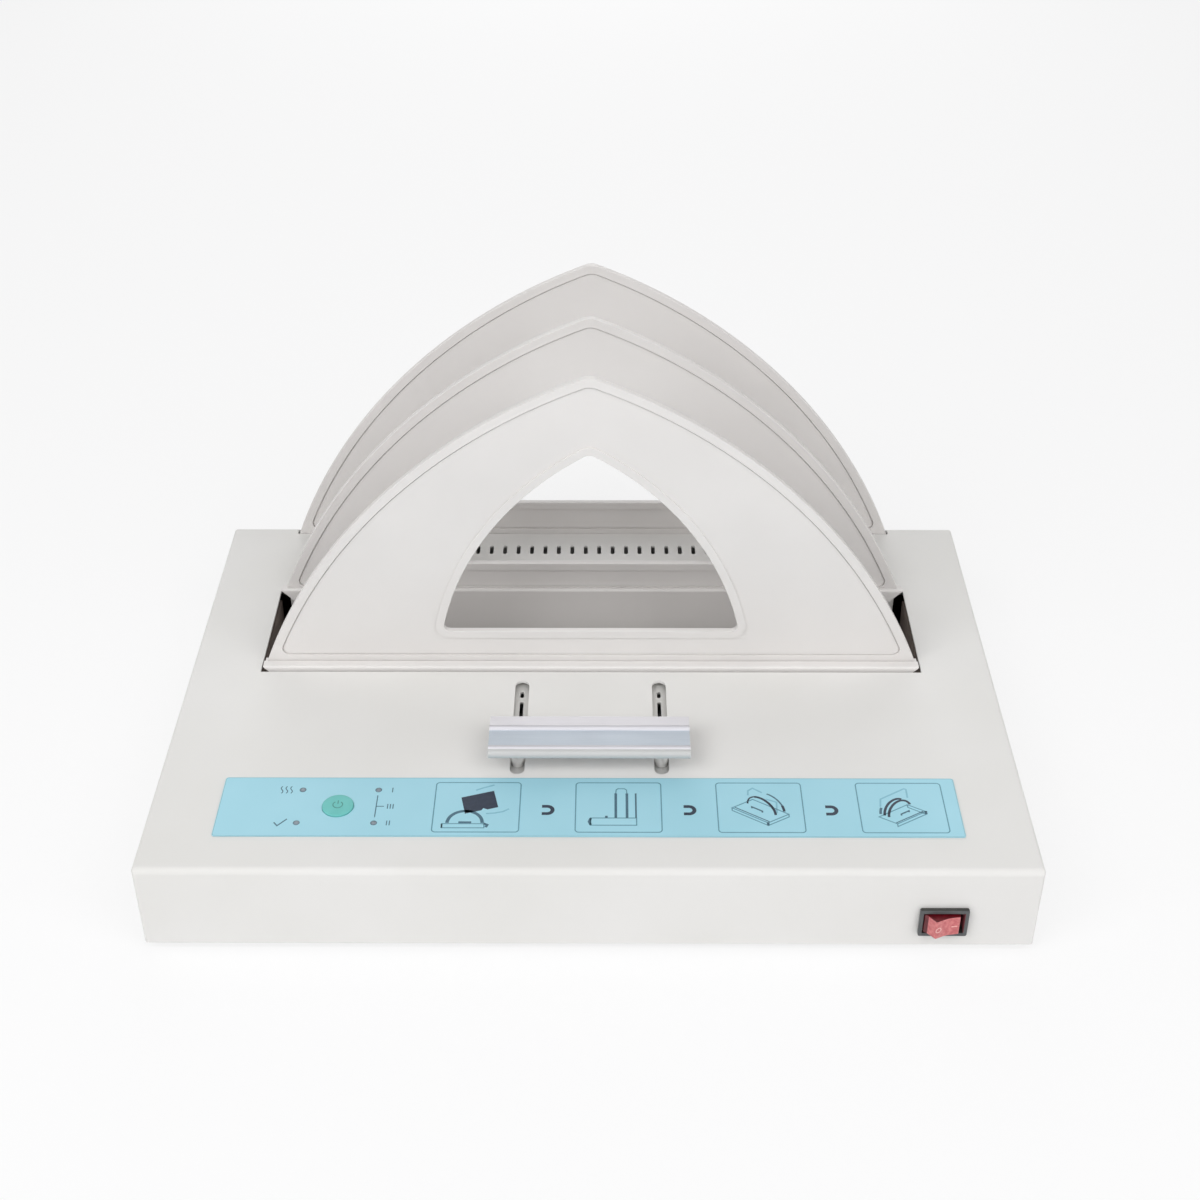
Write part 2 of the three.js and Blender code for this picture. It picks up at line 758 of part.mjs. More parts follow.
// An end wall stops below the carriage plate, which passes over it.
function wellEndWall(name, side) {
  const low = panTop + seatGap;
  const high = plateUnder - 2 * slideGap;
  const inner = wellWidth / 2;
  const outer = inner + wallSheet;
  const reach = inner + wallFlange;
  const front = plateRear - wallSheet - slideGap;
  const rear = middleArchY + archThickness;
  const [left, right] = side < 0 ? [-outer, -inner] : [inner, outer];
  const [footLeft, footRight] = side < 0 ? [-reach, -inner] : [inner, reach];
  const body = joined([
    box(left, right, front, rear, low, high),
    box(footLeft, footRight, front, rear, low, low + wallSheet),
  ]);
  return mesh(name, body, darkSteel);
}

// Heater

// The tray is a channel on feet of its own: its two long walls are turned out along the pan.
function heaterTray() {
  const front = hotPlateFront - seatGap;
  const rear = hotPlateRear + seatGap;
  const low = panTop + seatGap;
  const half = hotPlateHalf;
  const parts = [
    box(-half, half, front, rear, trayTop - traySheet, trayTop),
    box(-half, half, front, front + traySheet, trayTop - traySheet, trayTop + trayLip),
    box(-half, half, rear - traySheet, rear, trayTop - traySheet, trayTop + trayLip),
  ];
  const pitch = (2 * half - trayFootWidth) / (trayFeet - 1);
  for (let i = 0; i < trayFeet; i += 1) {
    const left = i * pitch - half;
    parts.push(box(left, left + trayFootWidth, front, rear, low, low + traySheet));
    for (const y of [front, rear - traySheet])
      parts.push(box(left, left + trayFootWidth, y, y + traySheet, low, trayTop));
  }
  const holeRadius = thermostatRadius + 2 * seatGap;
  const hole = rod(thermostatX(), hotPlateMiddle, holeRadius, low, trayTop + overrun);
  return mesh("heater_tray", joined(parts).subtract(hole), zincSteel);
}

function thermostatX() {
  return sensorRoom / 2 - hotPlateHalf;
}

// A layer between the tray's walls, its ends drawn in to leave room for the thermostat and fuse.
function heaterLayer(name, low, thickness, material) {
  const half = hotPlateHalf - sensorRoom;
  const body = box(
    -half,
    half,
    hotPlateFront + heaterMargin,
    hotPlateRear - heaterMargin,
    low,
    low + thickness,
  );
  return mesh(name, body, material);
}

function hotPlate() {
  const body = box(
    -hotPlateHalf,
    hotPlateHalf,
    hotPlateFront + traySheet,
    hotPlateRear - traySheet,
    hotPlateUnder,
    hotPlateTop,
  );
  return mesh("heating_plate", body, hotAluminium);
}

// A disc thermostat, held against the hot plate's underside, with a blade out to each side.
function thermostat() {
  const top = hotPlateUnder - seatGap;
  const can = turned([
    [0, -thermostatHeight],
    [thermostatRadius, -thermostatHeight],
    [thermostatRadius, -thermostatCap],
    [thermostatFlange, -thermostatCap],
    [thermostatFlange, thermostatFlangeThickness - thermostatCap],
    [thermostatRadius, thermostatFlangeThickness - thermostatCap],
    [thermostatRadius, 0],
    [0, 0],
  ]);
  const bladeEnd = thermostatRadius + thermostatBladeReach;
  const bladeTop = -thermostatCap - thermostatBladeDrop;
  const blades = box(
    -thermostatBladeWidth / 2,
    thermostatBladeWidth / 2,
    -bladeEnd,
    bladeEnd,
    bladeTop - thermostatBladeThickness,
    bladeTop,
  );
  const body = can.add(blades).translate([thermostatX(), hotPlateMiddle, top]);
  return mesh("thermostat", body, blackPlastic);
}

// The safety fuse: a small can with a lead at each end, along the plate's other end.
function thermalFuse() {
  const z = hotPlateUnder - seatGap - fuseRadius;
  const x = hotPlateHalf - sensorRoom / 2;
  const half = fuseLength / 2;
  const leadEnd = half + fuseLeadLength;
  const body = joined([
    lengthways(circle(hotPlateMiddle, z, fuseRadius), x - half, x + half),
    lengthways(circle(hotPlateMiddle, z, fuseLeadRadius), x - leadEnd, x + leadEnd),
  ]);
  return mesh("thermal_fuse", body, copper);
}

// Carriage: everything that the handle moves

// The plate closes the deck's opening in front of the arch, and its rear edge is turned down.
function carriagePlate() {
  const well = archHalfWidth + archEndGap / 2;
  const flangeLow = skirtBottom + wallSheet;
  const plate = joined([
    box(-plateHalfWidth, plateHalfWidth, plateFront, plateRear, plateUnder, plateTop),
    box(-well, well, plateRear - wallSheet, plateRear, flangeLow, plateTop),
  ]);
  const low = plateUnder - overrun;
  const high = plateTop + overrun;
  const slitY = postY + sightSlitFromPost - sightSlitLength / 2;
  const slotY = postY + sightSlotFromPost;
  const cuts = postPlaces().flatMap((x) => [
    rod(x, postY, handleScrewRadius + seatGap, low, high),
    flat(slotShape(x, slotY, sightSlitWidth, sightSlotLength), low, high),
    flat(slotShape(x, slitY, sightSlitWidth, sightSlitLength), low, high),
  ]);
  return mesh("carriage_plate", cut(plate, cuts), zincSteel);
}

// A guide rail under the deck: a channel for the plate's edge, closed at both ends as its stops.
function guideRail(name, side) {
  const inner = plateHalfWidth - carriageLip / 2;
  const outer = plateHalfWidth + slideGap + railWall;
  const front = plateFront - slideGap;
  const rear = plateRear + carriageTravel + slideGap;
  const [left, right] = side < 0 ? [-outer, -inner] : [inner, outer];
  const low = plateUnder - slideGap - railLip;
  const block = box(left, right, front - railStop, rear + railStop, low, deckUnder - seatGap);
  const [cutLeft, cutRight] =
    side < 0
      ? [-plateHalfWidth - slideGap, -inner + overrun]
      : [inner - overrun, plateHalfWidth + slideGap];
  const channel = box(cutLeft, cutRight, front, rear, plateUnder - slideGap, plateTop + slideGap);
  return mesh(name, block.subtract(channel), nylon);
}

// The handle is a length of extruded bar with two rounded beads beside a shallow channel.
function handleBar() {
  const half = handleWidth / 2;
  const bar = roundedRectangle(-half, half, 0, handleThickness, [0, 0, handleEdge, handleEdge]);
  const left = -handleLength / 2;
  const right = handleLength / 2;
  const beadHeight = handleThickness + beadRise - beadRadius;
  const beads = spaced(2, beadSpread).map((y) =>
    lengthways(circle(y, beadHeight, beadRadius), left, right),
  );
  const channel = box(
    left - overrun,
    right + overrun,
    beadRadius - beadSpread / 2,
    beadSpread / 2 - beadRadius,
    handleThickness - channelDepth,
    handleThickness + overrun,
  );
  const body = joined([lengthways(bar, left, right), ...beads]).subtract(channel);
  return mesh("handle_bar", body.translate([0, postY, deck + handleLift]), aluminium);
}

// A post passes through its slot in the deck, and is drilled from below for its screw.
function handlePost(name, x) {
  const low = plateTop + seatGap;
  const bore = rod(x, postY, handleScrewRadius + seatGap, low - overrun, low + handleScrewReach);
  const body = rod(x, postY, postRadius, low, deck + handleLift - seatGap).subtract(bore);
  return mesh(name, body, brightSteel);
}

function handleScrew(name, x) {
  const reach = wallSheet + handleScrewReach;
  const body = screw(handleScrewHead, handleScrewHeadHeight, handleScrewRadius, reach);
  const upwards = body.rotate([180, 0, 0]);
  return mesh(name, upwards.translate([x, postY, plateUnder - seatGap]), zincSteel);
}

// Control panel

function lampPlaces() {
  return spaced(2, lampSpreadX).flatMap((x) =>
    spaced(2, -lampSpreadY).map((y) => [x + buttonX, y + overlayY]),
  );
}

function controlOverlay() {
  const corners = Array(4).fill(overlayCorner);
  const outline = roundedRectangle(
    -overlayWidth / 2,
    overlayWidth / 2,
    overlayY - overlayDepth / 2,
    overlayY + overlayDepth / 2,
    corners,
  );
  const film = flat(outline, overlayLow, overlayTop);
  const hole = rod(buttonX, overlayY, buttonRadius + slideGap, deck, overlayTop + overrun);
  return mesh("control_overlay", film.subtract(hole), labelFilm);
}

// The button stands just proud of the label, and its flange keeps it under the deck.
function buttonCap() {
  const top = overlayTop + buttonRise;
  const flangeTop = deckUnder - slideGap;
  const body = turned([
    [0, buttonFlangeLow],
    [buttonRadius + buttonFlange, buttonFlangeLow],
    [buttonRadius + buttonFlange, flangeTop],
    [buttonRadius, flangeTop],
    [buttonRadius, top - buttonDome],
    [buttonRadius - buttonDome, top],
    [0, top],
  ]);
  return mesh("button_cap", body.translate([buttonX, overlayY, 0]), greenPlastic);
}

function controlBoard() {
  const board = box(
    buttonX - boardWidth / 2,
    buttonX + boardWidth / 2,
    overlayY - boardDepth / 2,
    overlayY + boardDepth / 2,
    boardTop - boardThickness,
    boardTop,
  );
  return mesh("control_board", board, boardGreen);
}

function boardCorners() {
  const places = fourPlaces(boardWidth / 2 - boardHoleInset, boardDepth / 2 - boardHoleInset);
  return places.map(([x, y]) => [x + buttonX, y + overlayY]);
}

function boardSpacer(name, [x, y]) {
  return mesh(name, rod(x, y, spacerRadius, boardTop + seatGap, deckUnder - seatGap), nylon);
}

// An indicator lamp: a round lens with a wider base on the board.
function lamp(name, [x, y]) {
  const low = boardTop + seatGap;
  const crown = deck - lampSink - low - lampRadius;
  const dome = arc(0, crown, lampRadius, 0, Math.PI / 2).map((p) => [Math.max(p.x, 0), p.y]);
  dome[dome.length - 1][0] = 0;
  const body = turned([
    [0, 0],
    [lampRadius + lampBase, 0],
    [lampRadius + lampBase, lampBaseHeight],
    [lampRadius, lampBaseHeight],
    ...dome,
  ]);
  return mesh(name, body.translate([x, y, low]), lampPlastic);
}

// The key switch under the button, and the plunger that slides in it.
function keySwitch() {
  const half = keySwitchSize / 2;
  const [left, right] = [buttonX - half, buttonX + half];
  const body = box(left, right, overlayY - half, overlayY + half, boardTop + seatGap, keySwitchTop);
  const floor = boardTop + keySwitchFloor;
  const bore = rod(buttonX, overlayY, plungerRadius + seatGap, floor, keySwitchTop + overrun);
  return mesh("key_switch", body.subtract(bore), blackPlastic);
}

function keyPlunger() {
  const low = boardTop + keySwitchFloor + buttonTravel + seatGap;
  const body = rod(buttonX, overlayY, plungerRadius, low, buttonFlangeLow - seatGap);
  return mesh("key_plunger", body, nylon);
}

// Power switch

function switchHousing() {
  const face = -halfDepth - seatGap;
  const back = switchBodyDepth - halfDepth;
  const corners = Array(4).fill(bezelChamfer);
  const [rimX, rimZ] = [bezelWidth / 2, bezelHeight / 2];
  const [bodyX, bodyZ] = [switchBodyWidth / 2, switchBodyHeight / 2];
  const [holeX, holeZ] = [rockerRadius + slideGap, rockerHeight / 2 + slideGap];
  const rim = upright(roundedRectangle(-rimX, rimX, -rimZ, rimZ, corners), face - bezelThickness, face);
  const block = box(-bodyX, bodyX, face - bezelThickness / 2, back, -bodyZ, bodyZ);
  const cavity = box(-holeX, holeX, face - bezelThickness - overrun, back - switchBack, -holeZ, holeZ);
  const pivotReach = rockerHeight / 2 + pivotLength + slideGap;
  const pivot = rod(0, pivotDepth - halfDepth, pivotRadius + slideGap / 2, -pivotReach, pivotReach);
  const half = bladeThickness / 2;
  const blades = spaced(3, bladePitch).map((x) =>
    box(x - half, x + half, back - switchBack / 2, back + bladeReach, -bladeWidth / 2, bladeWidth / 2),
  );
  const body = joined([cut(joined([rim, block]), [cavity, pivot]), ...blades]);
  return mesh("switch_housing", body.translate([switchX, 0, switchZ]), blackPlastic);
}

// The rocker's outline about its pivot: two faces that meet in a shallow valley, and a round back.
function rockerShape() {
  const corner = Math.asin(rockerTip / rockerRadius);
  const slope = Math.tan(THREE.MathUtils.degToRad(rockerSlope));
  const valley = rockerTip - rockerRadius * Math.cos(corner) * slope;
  return new THREE.Shape([point(0, -valley), ...arc(0, 0, rockerRadius, -corner, Math.PI + corner)]);
}

function switchRocker() {
  const half = rockerHeight / 2;
  const body = joined([
    flat(rockerShape(), -half, half),
    rod(0, 0, pivotRadius, -half - pivotLength, half + pivotLength),
  ]);
  const made = mesh("switch_rocker", body, redPlastic);
  made.rotation.z = THREE.MathUtils.degToRad(rockerTilt);
  made.position.set(switchX, pivotDepth - halfDepth, switchZ);
  return made;
}

// Mains inlet

// The mouth is a rectangle with its two upper corners cut off.
function mouthShape() {
  const half = inletMouthWidth / 2;
  const high = inletMouthHeight / 2;
  return new THREE.Shape([
    point(-half, -high),
    point(half, -high),
    point(half, high - inletMouthCut),
    point(half - inletMouthCut, high),
    point(inletMouthCut - half, high),
    point(-half, high - inletMouthCut),
  ]);
}

function pinPlaces() {
  return [
    ["inlet_pin_line", -pinSpread / 2, -pinStagger / 2],
    ["inlet_pin_neutral", pinSpread / 2, -pinStagger / 2],
    ["inlet_pin_earth", 0, pinStagger / 2],
  ];
}

function mainsInlet() {
  const face = halfDepth + seatGap;
  const outer = face + inletFlangeThickness;
  const inner = face - inletBodyDepth;
  const corners = Array(4).fill(inletFlangeCorner);
  const [rimX, rimZ] = [inletFlangeWidth / 2, inletFlangeHeight / 2];
  const [bodyX, bodyZ] = [inletBodyWidth / 2, inletBodyHeight / 2];
  const flange = upright(roundedRectangle(-rimX, rimX, -rimZ, rimZ, corners), face, outer);
  const block = box(-bodyX, bodyX, inner, face + inletFlangeThickness / 2, -bodyZ, bodyZ);
  const cuts = [upright(mouthShape(), outer - inletMouthDepth, outer + overrun)];
  for (const [, x, z] of pinPlaces()) cuts.push(pinBox(x, z, seatGap, inner - overrun, outer));
  const body = cut(flange.add(block), cuts);
  return mesh("mains_inlet", body.translate([inletX, 0, inletZ]), blackPlastic);
}

function pinBox(x, z, gap, front, rear) {
  const halfThickness = pinThickness / 2 + gap;
  const half = pinWidth / 2 + gap;
  return box(x - halfThickness, x + halfThickness, front, rear, z - half, z + half);
}

function inletPin([name, x, z]) {
  const outer = halfDepth + seatGap + inletFlangeThickness;
  const rear = outer - inletMouthDepth + pinReach;
  const front = halfDepth + seatGap - inletBodyDepth - pinTail;
  return mesh(name, pinBox(x, z, 0, front, rear).translate([inletX, 0, inletZ]), brightSteel);
}

// Power supply

function powerBoardCorners() {
  const inset = boardHoleInset + bossRadius / 2;
  const places = fourPlaces(powerBoardWidth / 2 - inset, powerBoardDepth / 2 - inset);
  return places.map(([x, y]) => [x + powerBoardFromMiddle, y + powerY]);
}

function powerBoard() {
  const board = box(
    powerBoardFromMiddle - powerBoardWidth / 2,
    powerBoardFromMiddle + powerBoardWidth / 2,
    powerY - powerBoardDepth / 2,
    powerY + powerBoardDepth / 2,
    powerTop - boardThickness,
    powerTop,
  );
  return mesh("power_board", board, boardGreen);
}

// A small transformer: a laminated core with its coil bulging at the front and the back.
function transformer() {
  const x = powerBoardFromMiddle - powerBoardWidth / 2 + powerPartMargin + coreLength / 2;
  const low = powerTop + seatGap;
  const half = coreLength / 2;
  const coilLow = low + (coreHeight - coilHeight) / 2;
  const core = coreDepth / 2;
  const coil = core + coilBulge;
  const body = joined([
    box(x - half, x + half, powerY - core, powerY + core, low, low + coreHeight),
    box(x - half / 2, x + half / 2, powerY - coil, powerY + coil, coilLow, coilLow + coilHeight),
  ]);
  return mesh("transformer", body, copper);
}

// Where the parts beside the transformer begin.
function besideTransformer() {
  return powerBoardFromMiddle - powerBoardWidth / 2 + 2 * powerPartMargin + coreLength;
}

function relay() {
  const left = besideTransformer();
  const rear = powerY + powerBoardDepth / 2 - powerPartMargin;
  const low = powerTop + seatGap;
  const body = box(left, left + relayLength, rear - relayDepth, rear, low, low + relayHeight);
  return mesh("relay", body, blackPlastic);
}

// The terminal block has a row of wire holes in its front and a step above them.
function terminalBlock() {
  const left = besideTransformer();
  const right = left + terminalLength;
  const front = powerY - powerBoardDepth / 2 + powerPartMargin / 2;
  const low = powerTop + seatGap;
  const high = low + terminalHeight;
  const stepLow = high - terminalStep;
  const block = box(left, right, front, front + terminalDepth, low, high);
  const stepRear = front + terminalStep;
  const step = box(left - overrun, right + overrun, front - overrun, stepRear, stepLow, high + overrun);
  const holeEnd = front + terminalDepth / 2;
  const holes = spaced(terminalWays, terminalLength / terminalWays).map((x) => {
    const hole = circle(x + (left + right) / 2, (low + stepLow) / 2, terminalHoleRadius);
    return upright(hole, front - overrun, holeEnd);
  });
  return mesh("terminal_block", cut(block, [step, ...holes]), greenPlastic);
}

// The whole machine
const machine = new THREE.Group();
machine.add(topCover(), basePan());
["foot_front_left", "foot_front_right", "foot_rear_left", "foot_rear_right"].forEach((name, i) =>
  machine.add(rubberFoot(name, footPlaces()[i])),
);
coverScrewPlaces().forEach((place, i) => machine.add(coverScrew("cover_screw_" + (i + 1), place)));
machine.add(frontArch(), middleArch(), backArch());
machine.add(wellRearWall(), carriagePlate(), handleBar());
for (const [word, side] of sides)
  machine.add(
    archBracket("arch_bracket_" + word, side),
    wellEndWall("well_end_wall_" + word, side),
    guideRail("guide_rail_" + word, side),
    handlePost("handle_post_" + word, (side * postSpread) / 2),
    handleScrew("handle_screw_" + word, (side * postSpread) / 2),
  );
machine.add(
  heaterTray(),
  heaterLayer("insulation_board", trayTop + seatGap, insulationThickness, mineralBoard),
  heaterLayer("heater_element", insulationTop + seatGap, heaterThickness, heaterFilm),
  hotPlate(),
  thermostat(),
  thermalFuse(),
);
machine.add(controlOverlay(), buttonCap(), controlBoard(), keySwitch(), keyPlunger());
boardCorners().forEach((place, i) => machine.add(boardSpacer("board_spacer_" + (i + 1), place)));
["lamp_heat", "lamp_done", "lamp_level_upper", "lamp_level_lower"].forEach((name, i) =>
  machine.add(lamp(name, lampPlaces()[i])),
);
machine.add(switchHousing(), switchRocker());
machine.add(mainsInlet(), ...pinPlaces().map(inletPin));
machine.add(powerBoard(), transformer(), relay(), terminalBlock());
for (const part of machine.children) part.position.y += setBack;

export default machine;
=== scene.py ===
# %% [markdown]
# A thermal binding machine is a low box of painted sheet metal with a long heated well in its deck. Pointed
# arch plates hold the pages upright in the well, and the front arch slides back with a bar handle and clamps
# them over the hot plate. This lesson dresses the machine: every piece that shows is modelled finely at the
# place that the frame gives, and every piece gets a finish of its own. The frame is loaded first, because
# all sizes and places come from it, and its box is kept for the middle that the softboxes aim at.

import json
import math

import bmesh
import bpy
from mathutils import Matrix, Vector
from mathutils.geometry import tessellate_polygon


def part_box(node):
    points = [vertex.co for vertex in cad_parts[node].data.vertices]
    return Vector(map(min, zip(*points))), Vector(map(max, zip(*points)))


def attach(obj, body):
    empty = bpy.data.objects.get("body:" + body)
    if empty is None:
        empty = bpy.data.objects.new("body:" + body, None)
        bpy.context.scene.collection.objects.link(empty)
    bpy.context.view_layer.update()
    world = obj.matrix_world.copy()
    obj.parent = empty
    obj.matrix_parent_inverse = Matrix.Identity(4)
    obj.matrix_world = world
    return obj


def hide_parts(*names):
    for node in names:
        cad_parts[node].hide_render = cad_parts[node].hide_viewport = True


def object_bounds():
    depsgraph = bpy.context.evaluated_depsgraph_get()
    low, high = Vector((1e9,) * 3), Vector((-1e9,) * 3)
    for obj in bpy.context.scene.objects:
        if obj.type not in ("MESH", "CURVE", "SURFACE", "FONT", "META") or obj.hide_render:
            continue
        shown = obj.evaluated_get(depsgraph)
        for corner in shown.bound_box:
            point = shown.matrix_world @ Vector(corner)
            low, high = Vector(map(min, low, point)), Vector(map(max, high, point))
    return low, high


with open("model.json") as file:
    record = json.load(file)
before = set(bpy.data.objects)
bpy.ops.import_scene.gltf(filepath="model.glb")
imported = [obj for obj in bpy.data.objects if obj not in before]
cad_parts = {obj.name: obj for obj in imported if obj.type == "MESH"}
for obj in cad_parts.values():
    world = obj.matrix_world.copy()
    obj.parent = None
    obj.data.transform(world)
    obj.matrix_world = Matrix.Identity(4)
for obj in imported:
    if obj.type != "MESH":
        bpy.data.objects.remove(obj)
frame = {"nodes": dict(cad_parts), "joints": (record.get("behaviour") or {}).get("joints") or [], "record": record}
cad_nodes = frame["nodes"]
cad_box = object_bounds()
slot_of = {part["node"]: part["material_slot"] for part in frame["record"]["subparts"]}
mm = 0.001


def add_object(name, data):
    """A new object in the scene, made from a mesh, a lamp or a lens."""
    made = bpy.data.objects.new(name, data)
    bpy.context.scene.collection.objects.link(made)
    return made


print(len(cad_nodes), "nodes in the frame, from", cad_box[0], "to", cad_box[1])

# %% [markdown]
# The camera stands in front of the machine and above it, as a person at the table would. Its place and
# tilt could be set by eye, but a lens that is a little too wide makes the arches lean the wrong way. So its
# place, its three angles and its focal length are the ones that were solved from the outlines of the housing
# and the arches, and they are simply written down here. The three turns are combined as matrices.

# %% Camera
camera_place = Vector((8.5, -680.85, 580.4)) * mm
camera_pitch = math.radians(35.44)
camera_yaw = math.radians(0.33)
camera_roll = math.radians(0.12)
lens = bpy.data.cameras.new("table_camera")
lens.sensor_width = 36.0
lens.lens = 54.25
camera = add_object("table_camera", lens)
camera.matrix_world = (
    Matrix.Translation(camera_place)
    @ Matrix.Rotation(camera_yaw, 4, "Z")
    @ Matrix.Rotation(math.pi / 2 - camera_pitch, 4, "X")
    @ Matrix.Rotation(-camera_roll, 4, "Z")
)
bpy.context.scene.camera = camera
bpy.context.scene.view_settings.view_transform = "Standard"
print("camera at", camera.location, "with a lens of", lens.lens, "mm")

# %% [markdown]
# The machine stands on a white table in a light tent, so its light comes softly from several sides. A single
# lamp would leave hard shadows between the arches, and an even fill alone would leave none and would darken
# what lies under the handle. Here the world gives only a little fill, and seven softboxes do the rest. Rays
# that see the world directly, or in a reflection, meet plain white, so metal and gloss show a white room. The
# world and all materials are small trees of nodes, and one helper makes a node and sets or links its inputs.

# %% Shader nodes
white_rays = ("Is Camera Ray", "Is Glossy Ray", "Is Transmission Ray")


def add_node(tree, kind, inputs, operation=None):
    """A new node whose inputs are set to values, or linked from the outputs of other nodes."""
    node = tree.nodes.new("ShaderNode" + kind)
    if operation:
        node.operation = operation
    for key, value in inputs.items():
        if isinstance(value, bpy.types.NodeSocket):
            tree.links.new(value, node.inputs[key])
        else:
            node.inputs[key].default_value = value
    return node


def light_path_share(tree):
    """1 for rays from the camera or off a glossy or clear surface, and 0 for light that falls on things."""
    path = add_node(tree, "LightPath", {})
    share = path.outputs[white_rays[0]]
    for kind in white_rays[1:]:
        share = add_node(tree, "Math", {0: share, 1: path.outputs[kind]}, "MAXIMUM").outputs[0]
    return share


print("plain white is met where a ray says", " or ".join(white_rays))

# %% World
fill_strength = 0.18
plain_white = (1.0, 1.0, 1.0, 1.0)
world = bpy.data.worlds.new("light_tent")
world.use_nodes = True
bpy.context.scene.world = world


def dress_world(tree):
    """A little fill on surfaces, and plain white where the world itself is seen."""
    tree.nodes.clear()
    fill = add_node(tree, "Background", {"Color": plain_white, "Strength": fill_strength})
    seen = add_node(tree, "Background", {"Color": plain_white})
    shares = {0: light_path_share(tree), 1: fill.outputs[0], 2: seen.outputs[0]}
    blend = add_node(tree, "MixShader", shares)
    add_node(tree, "OutputWorld", {"Surface": blend.outputs[0]})


dress_world(world.node_tree)
print("world fill", fill_strength)

# %% Table
def rectangle(left, right, low, high):
    return [(left, low), (right, low), (right, high), (left, high)]


table_half = 3.0
table_tone = (0.9, 0.9, 0.91, 1.0)
table_glow = 0.75  # share of plain white that the camera sees in the table, which softens the shadow
glow_near, glow_far = 1.5, 2.8  # distances in metres between which that share grows to 1 and no edge shows


def white_table():
    """A wide white table. What the camera sees of it is lifted towards white and keeps the shadow."""
    material = bpy.data.materials.new("white_table")
    material.use_nodes = True
    tree = material.node_tree
    tree.nodes.clear()
    place = add_node(tree, "TexCoord", {})
    away = add_node(tree, "VectorMath", {0: place.outputs["Object"]}, "LENGTH").outputs["Value"]
    limits = {"From Min": glow_near, "From Max": glow_far, "To Min": table_glow}
    share = add_node(tree, "MapRange", {"Value": away, **limits}).outputs["Result"]
    lift = add_node(tree, "Math", {0: light_path_share(tree), 1: share}, "MULTIPLY").outputs[0]
    paper = add_node(tree, "BsdfDiffuse", {"Color": table_tone}).outputs[0]
    glow = add_node(tree, "Emission", {}).outputs[0]
    blend = add_node(tree, "MixShader", {0: lift, 1: paper, 2: glow})
    add_node(tree, "OutputMaterial", {"Surface": blend.outputs[0]})
    return material


corners = rectangle(-table_half, table_half, -table_half, table_half)
table_mesh = bpy.data.meshes.new("table")
table_mesh.from_pydata([(x, y, 0) for x, y in corners], [], [(0, 1, 2, 3)])
table_mesh.materials.append(white_table())
add_object("table", table_mesh)
print("table of", 2 * table_half, "m")

# %% Softboxes
machine_middle = (cad_box[0] + cad_box[1]) / 2
softboxes = {
    "front_softbox": (Vector((0.0, -1.3, 1.5)), 1.3, 6.5),
    "left_softbox": (Vector((-0.9, -0.9, 1.3)), 1.0, 11.9),
    "right_softbox": (Vector((0.9, -0.9, 1.3)), 1.0, 9.1),
    "low_left_softbox": (Vector((-1.5, -1.0, 0.5)), 0.9, 4.6),
    "low_right_softbox": (Vector((1.5, -1.0, 0.5)), 0.9, 4.6),
    "rear_softbox": (Vector((0.0, 1.1, 1.3)), 1.3, 4.8),
    "low_rear_softbox": (Vector((0.0, 1.7, 0.5)), 0.9, 5.0),
}
for name, (place, size, watts) in softboxes.items():
    lamp = bpy.data.lights.new(name, "AREA")
    lamp.shape = "SQUARE"
    lamp.size = size
    lamp.energy = watts
    softbox = add_object(name, lamp)
    softbox.location = place
    softbox.rotation_mode = "QUATERNION"
    softbox.rotation_quaternion = (machine_middle - place).to_track_quat("-Z", "Y")
    print(name, watts, "W at", round((machine_middle - place).length, 2), "m")

# %% [markdown]
# Nearly every piece of this machine is cut from sheet, extruded or turned, so its shape is an outline that
# is swept along a line or round an axis. Outlines could be drawn with curve objects, but here they are plain
# lists of points made by a few small functions: an arc, a rounded rectangle, a slot and a circle. An arc
# gets as many points as it needs to stay within a hundredth of a millimetre of the true curve.

# %% Outlines
curve_error = 0.01 * mm


def arc(x, y, radius, start, end):
    """Points along an arc between two angles in degrees, both ends included."""
    step = 2 * math.acos(1 - min(curve_error / radius, 0.5))
    count = max(2, math.ceil(abs(math.radians(end - start)) / step))
    angles = [math.radians(start + (end - start) * i / count) for i in range(count + 1)]
    return [(x + radius * math.cos(a), y + radius * math.sin(a)) for a in angles]


def circle(x, y, radius):
    return arc(x, y, radius, 0, 360)[:-1]


def rounded(left, right, low, high, radius):
    """A rectangle with rounded corners, from the lower left one round."""
    points = arc(left + radius, low + radius, radius, 180, 270)
    points += arc(right - radius, low + radius, radius, 270, 360)
    points += arc(right - radius, high - radius, radius, 0, 90)
    return points + arc(left + radius, high - radius, radius, 90, 180)


def slot(x, y, width, length):
    """A slot with round ends that runs along the second axis."""
    reach = (length - width) / 2
    return arc(x, y + reach, width / 2, 0, 180) + arc(x, y - reach, width / 2, 180, 360)


print("a circle of 10 mm has", len(circle(0, 0, 10 * mm)), "points")

# %% [markdown]
# A sweep along a line is a prism. Its end faces may have holes in them, such as the openings of the arches.
# Blender's curve objects can fill such faces too, but a mesh written by hand keeps its edges clean for the
# rounding that follows. The end faces are cut into triangles by the tessellation that Blender carries, the
# sides are laid as rows of quads, and then the flat triangles are dissolved into a few large faces.

# %% Prisms
LAYS = {
    "flat": lambda u, v, w: (u, v, w),
    "upright": lambda u, v, w: (u, w, v),
    "lengthways": lambda u, v, w: (w, u, v),
}
flat_angle = math.radians(0.2)


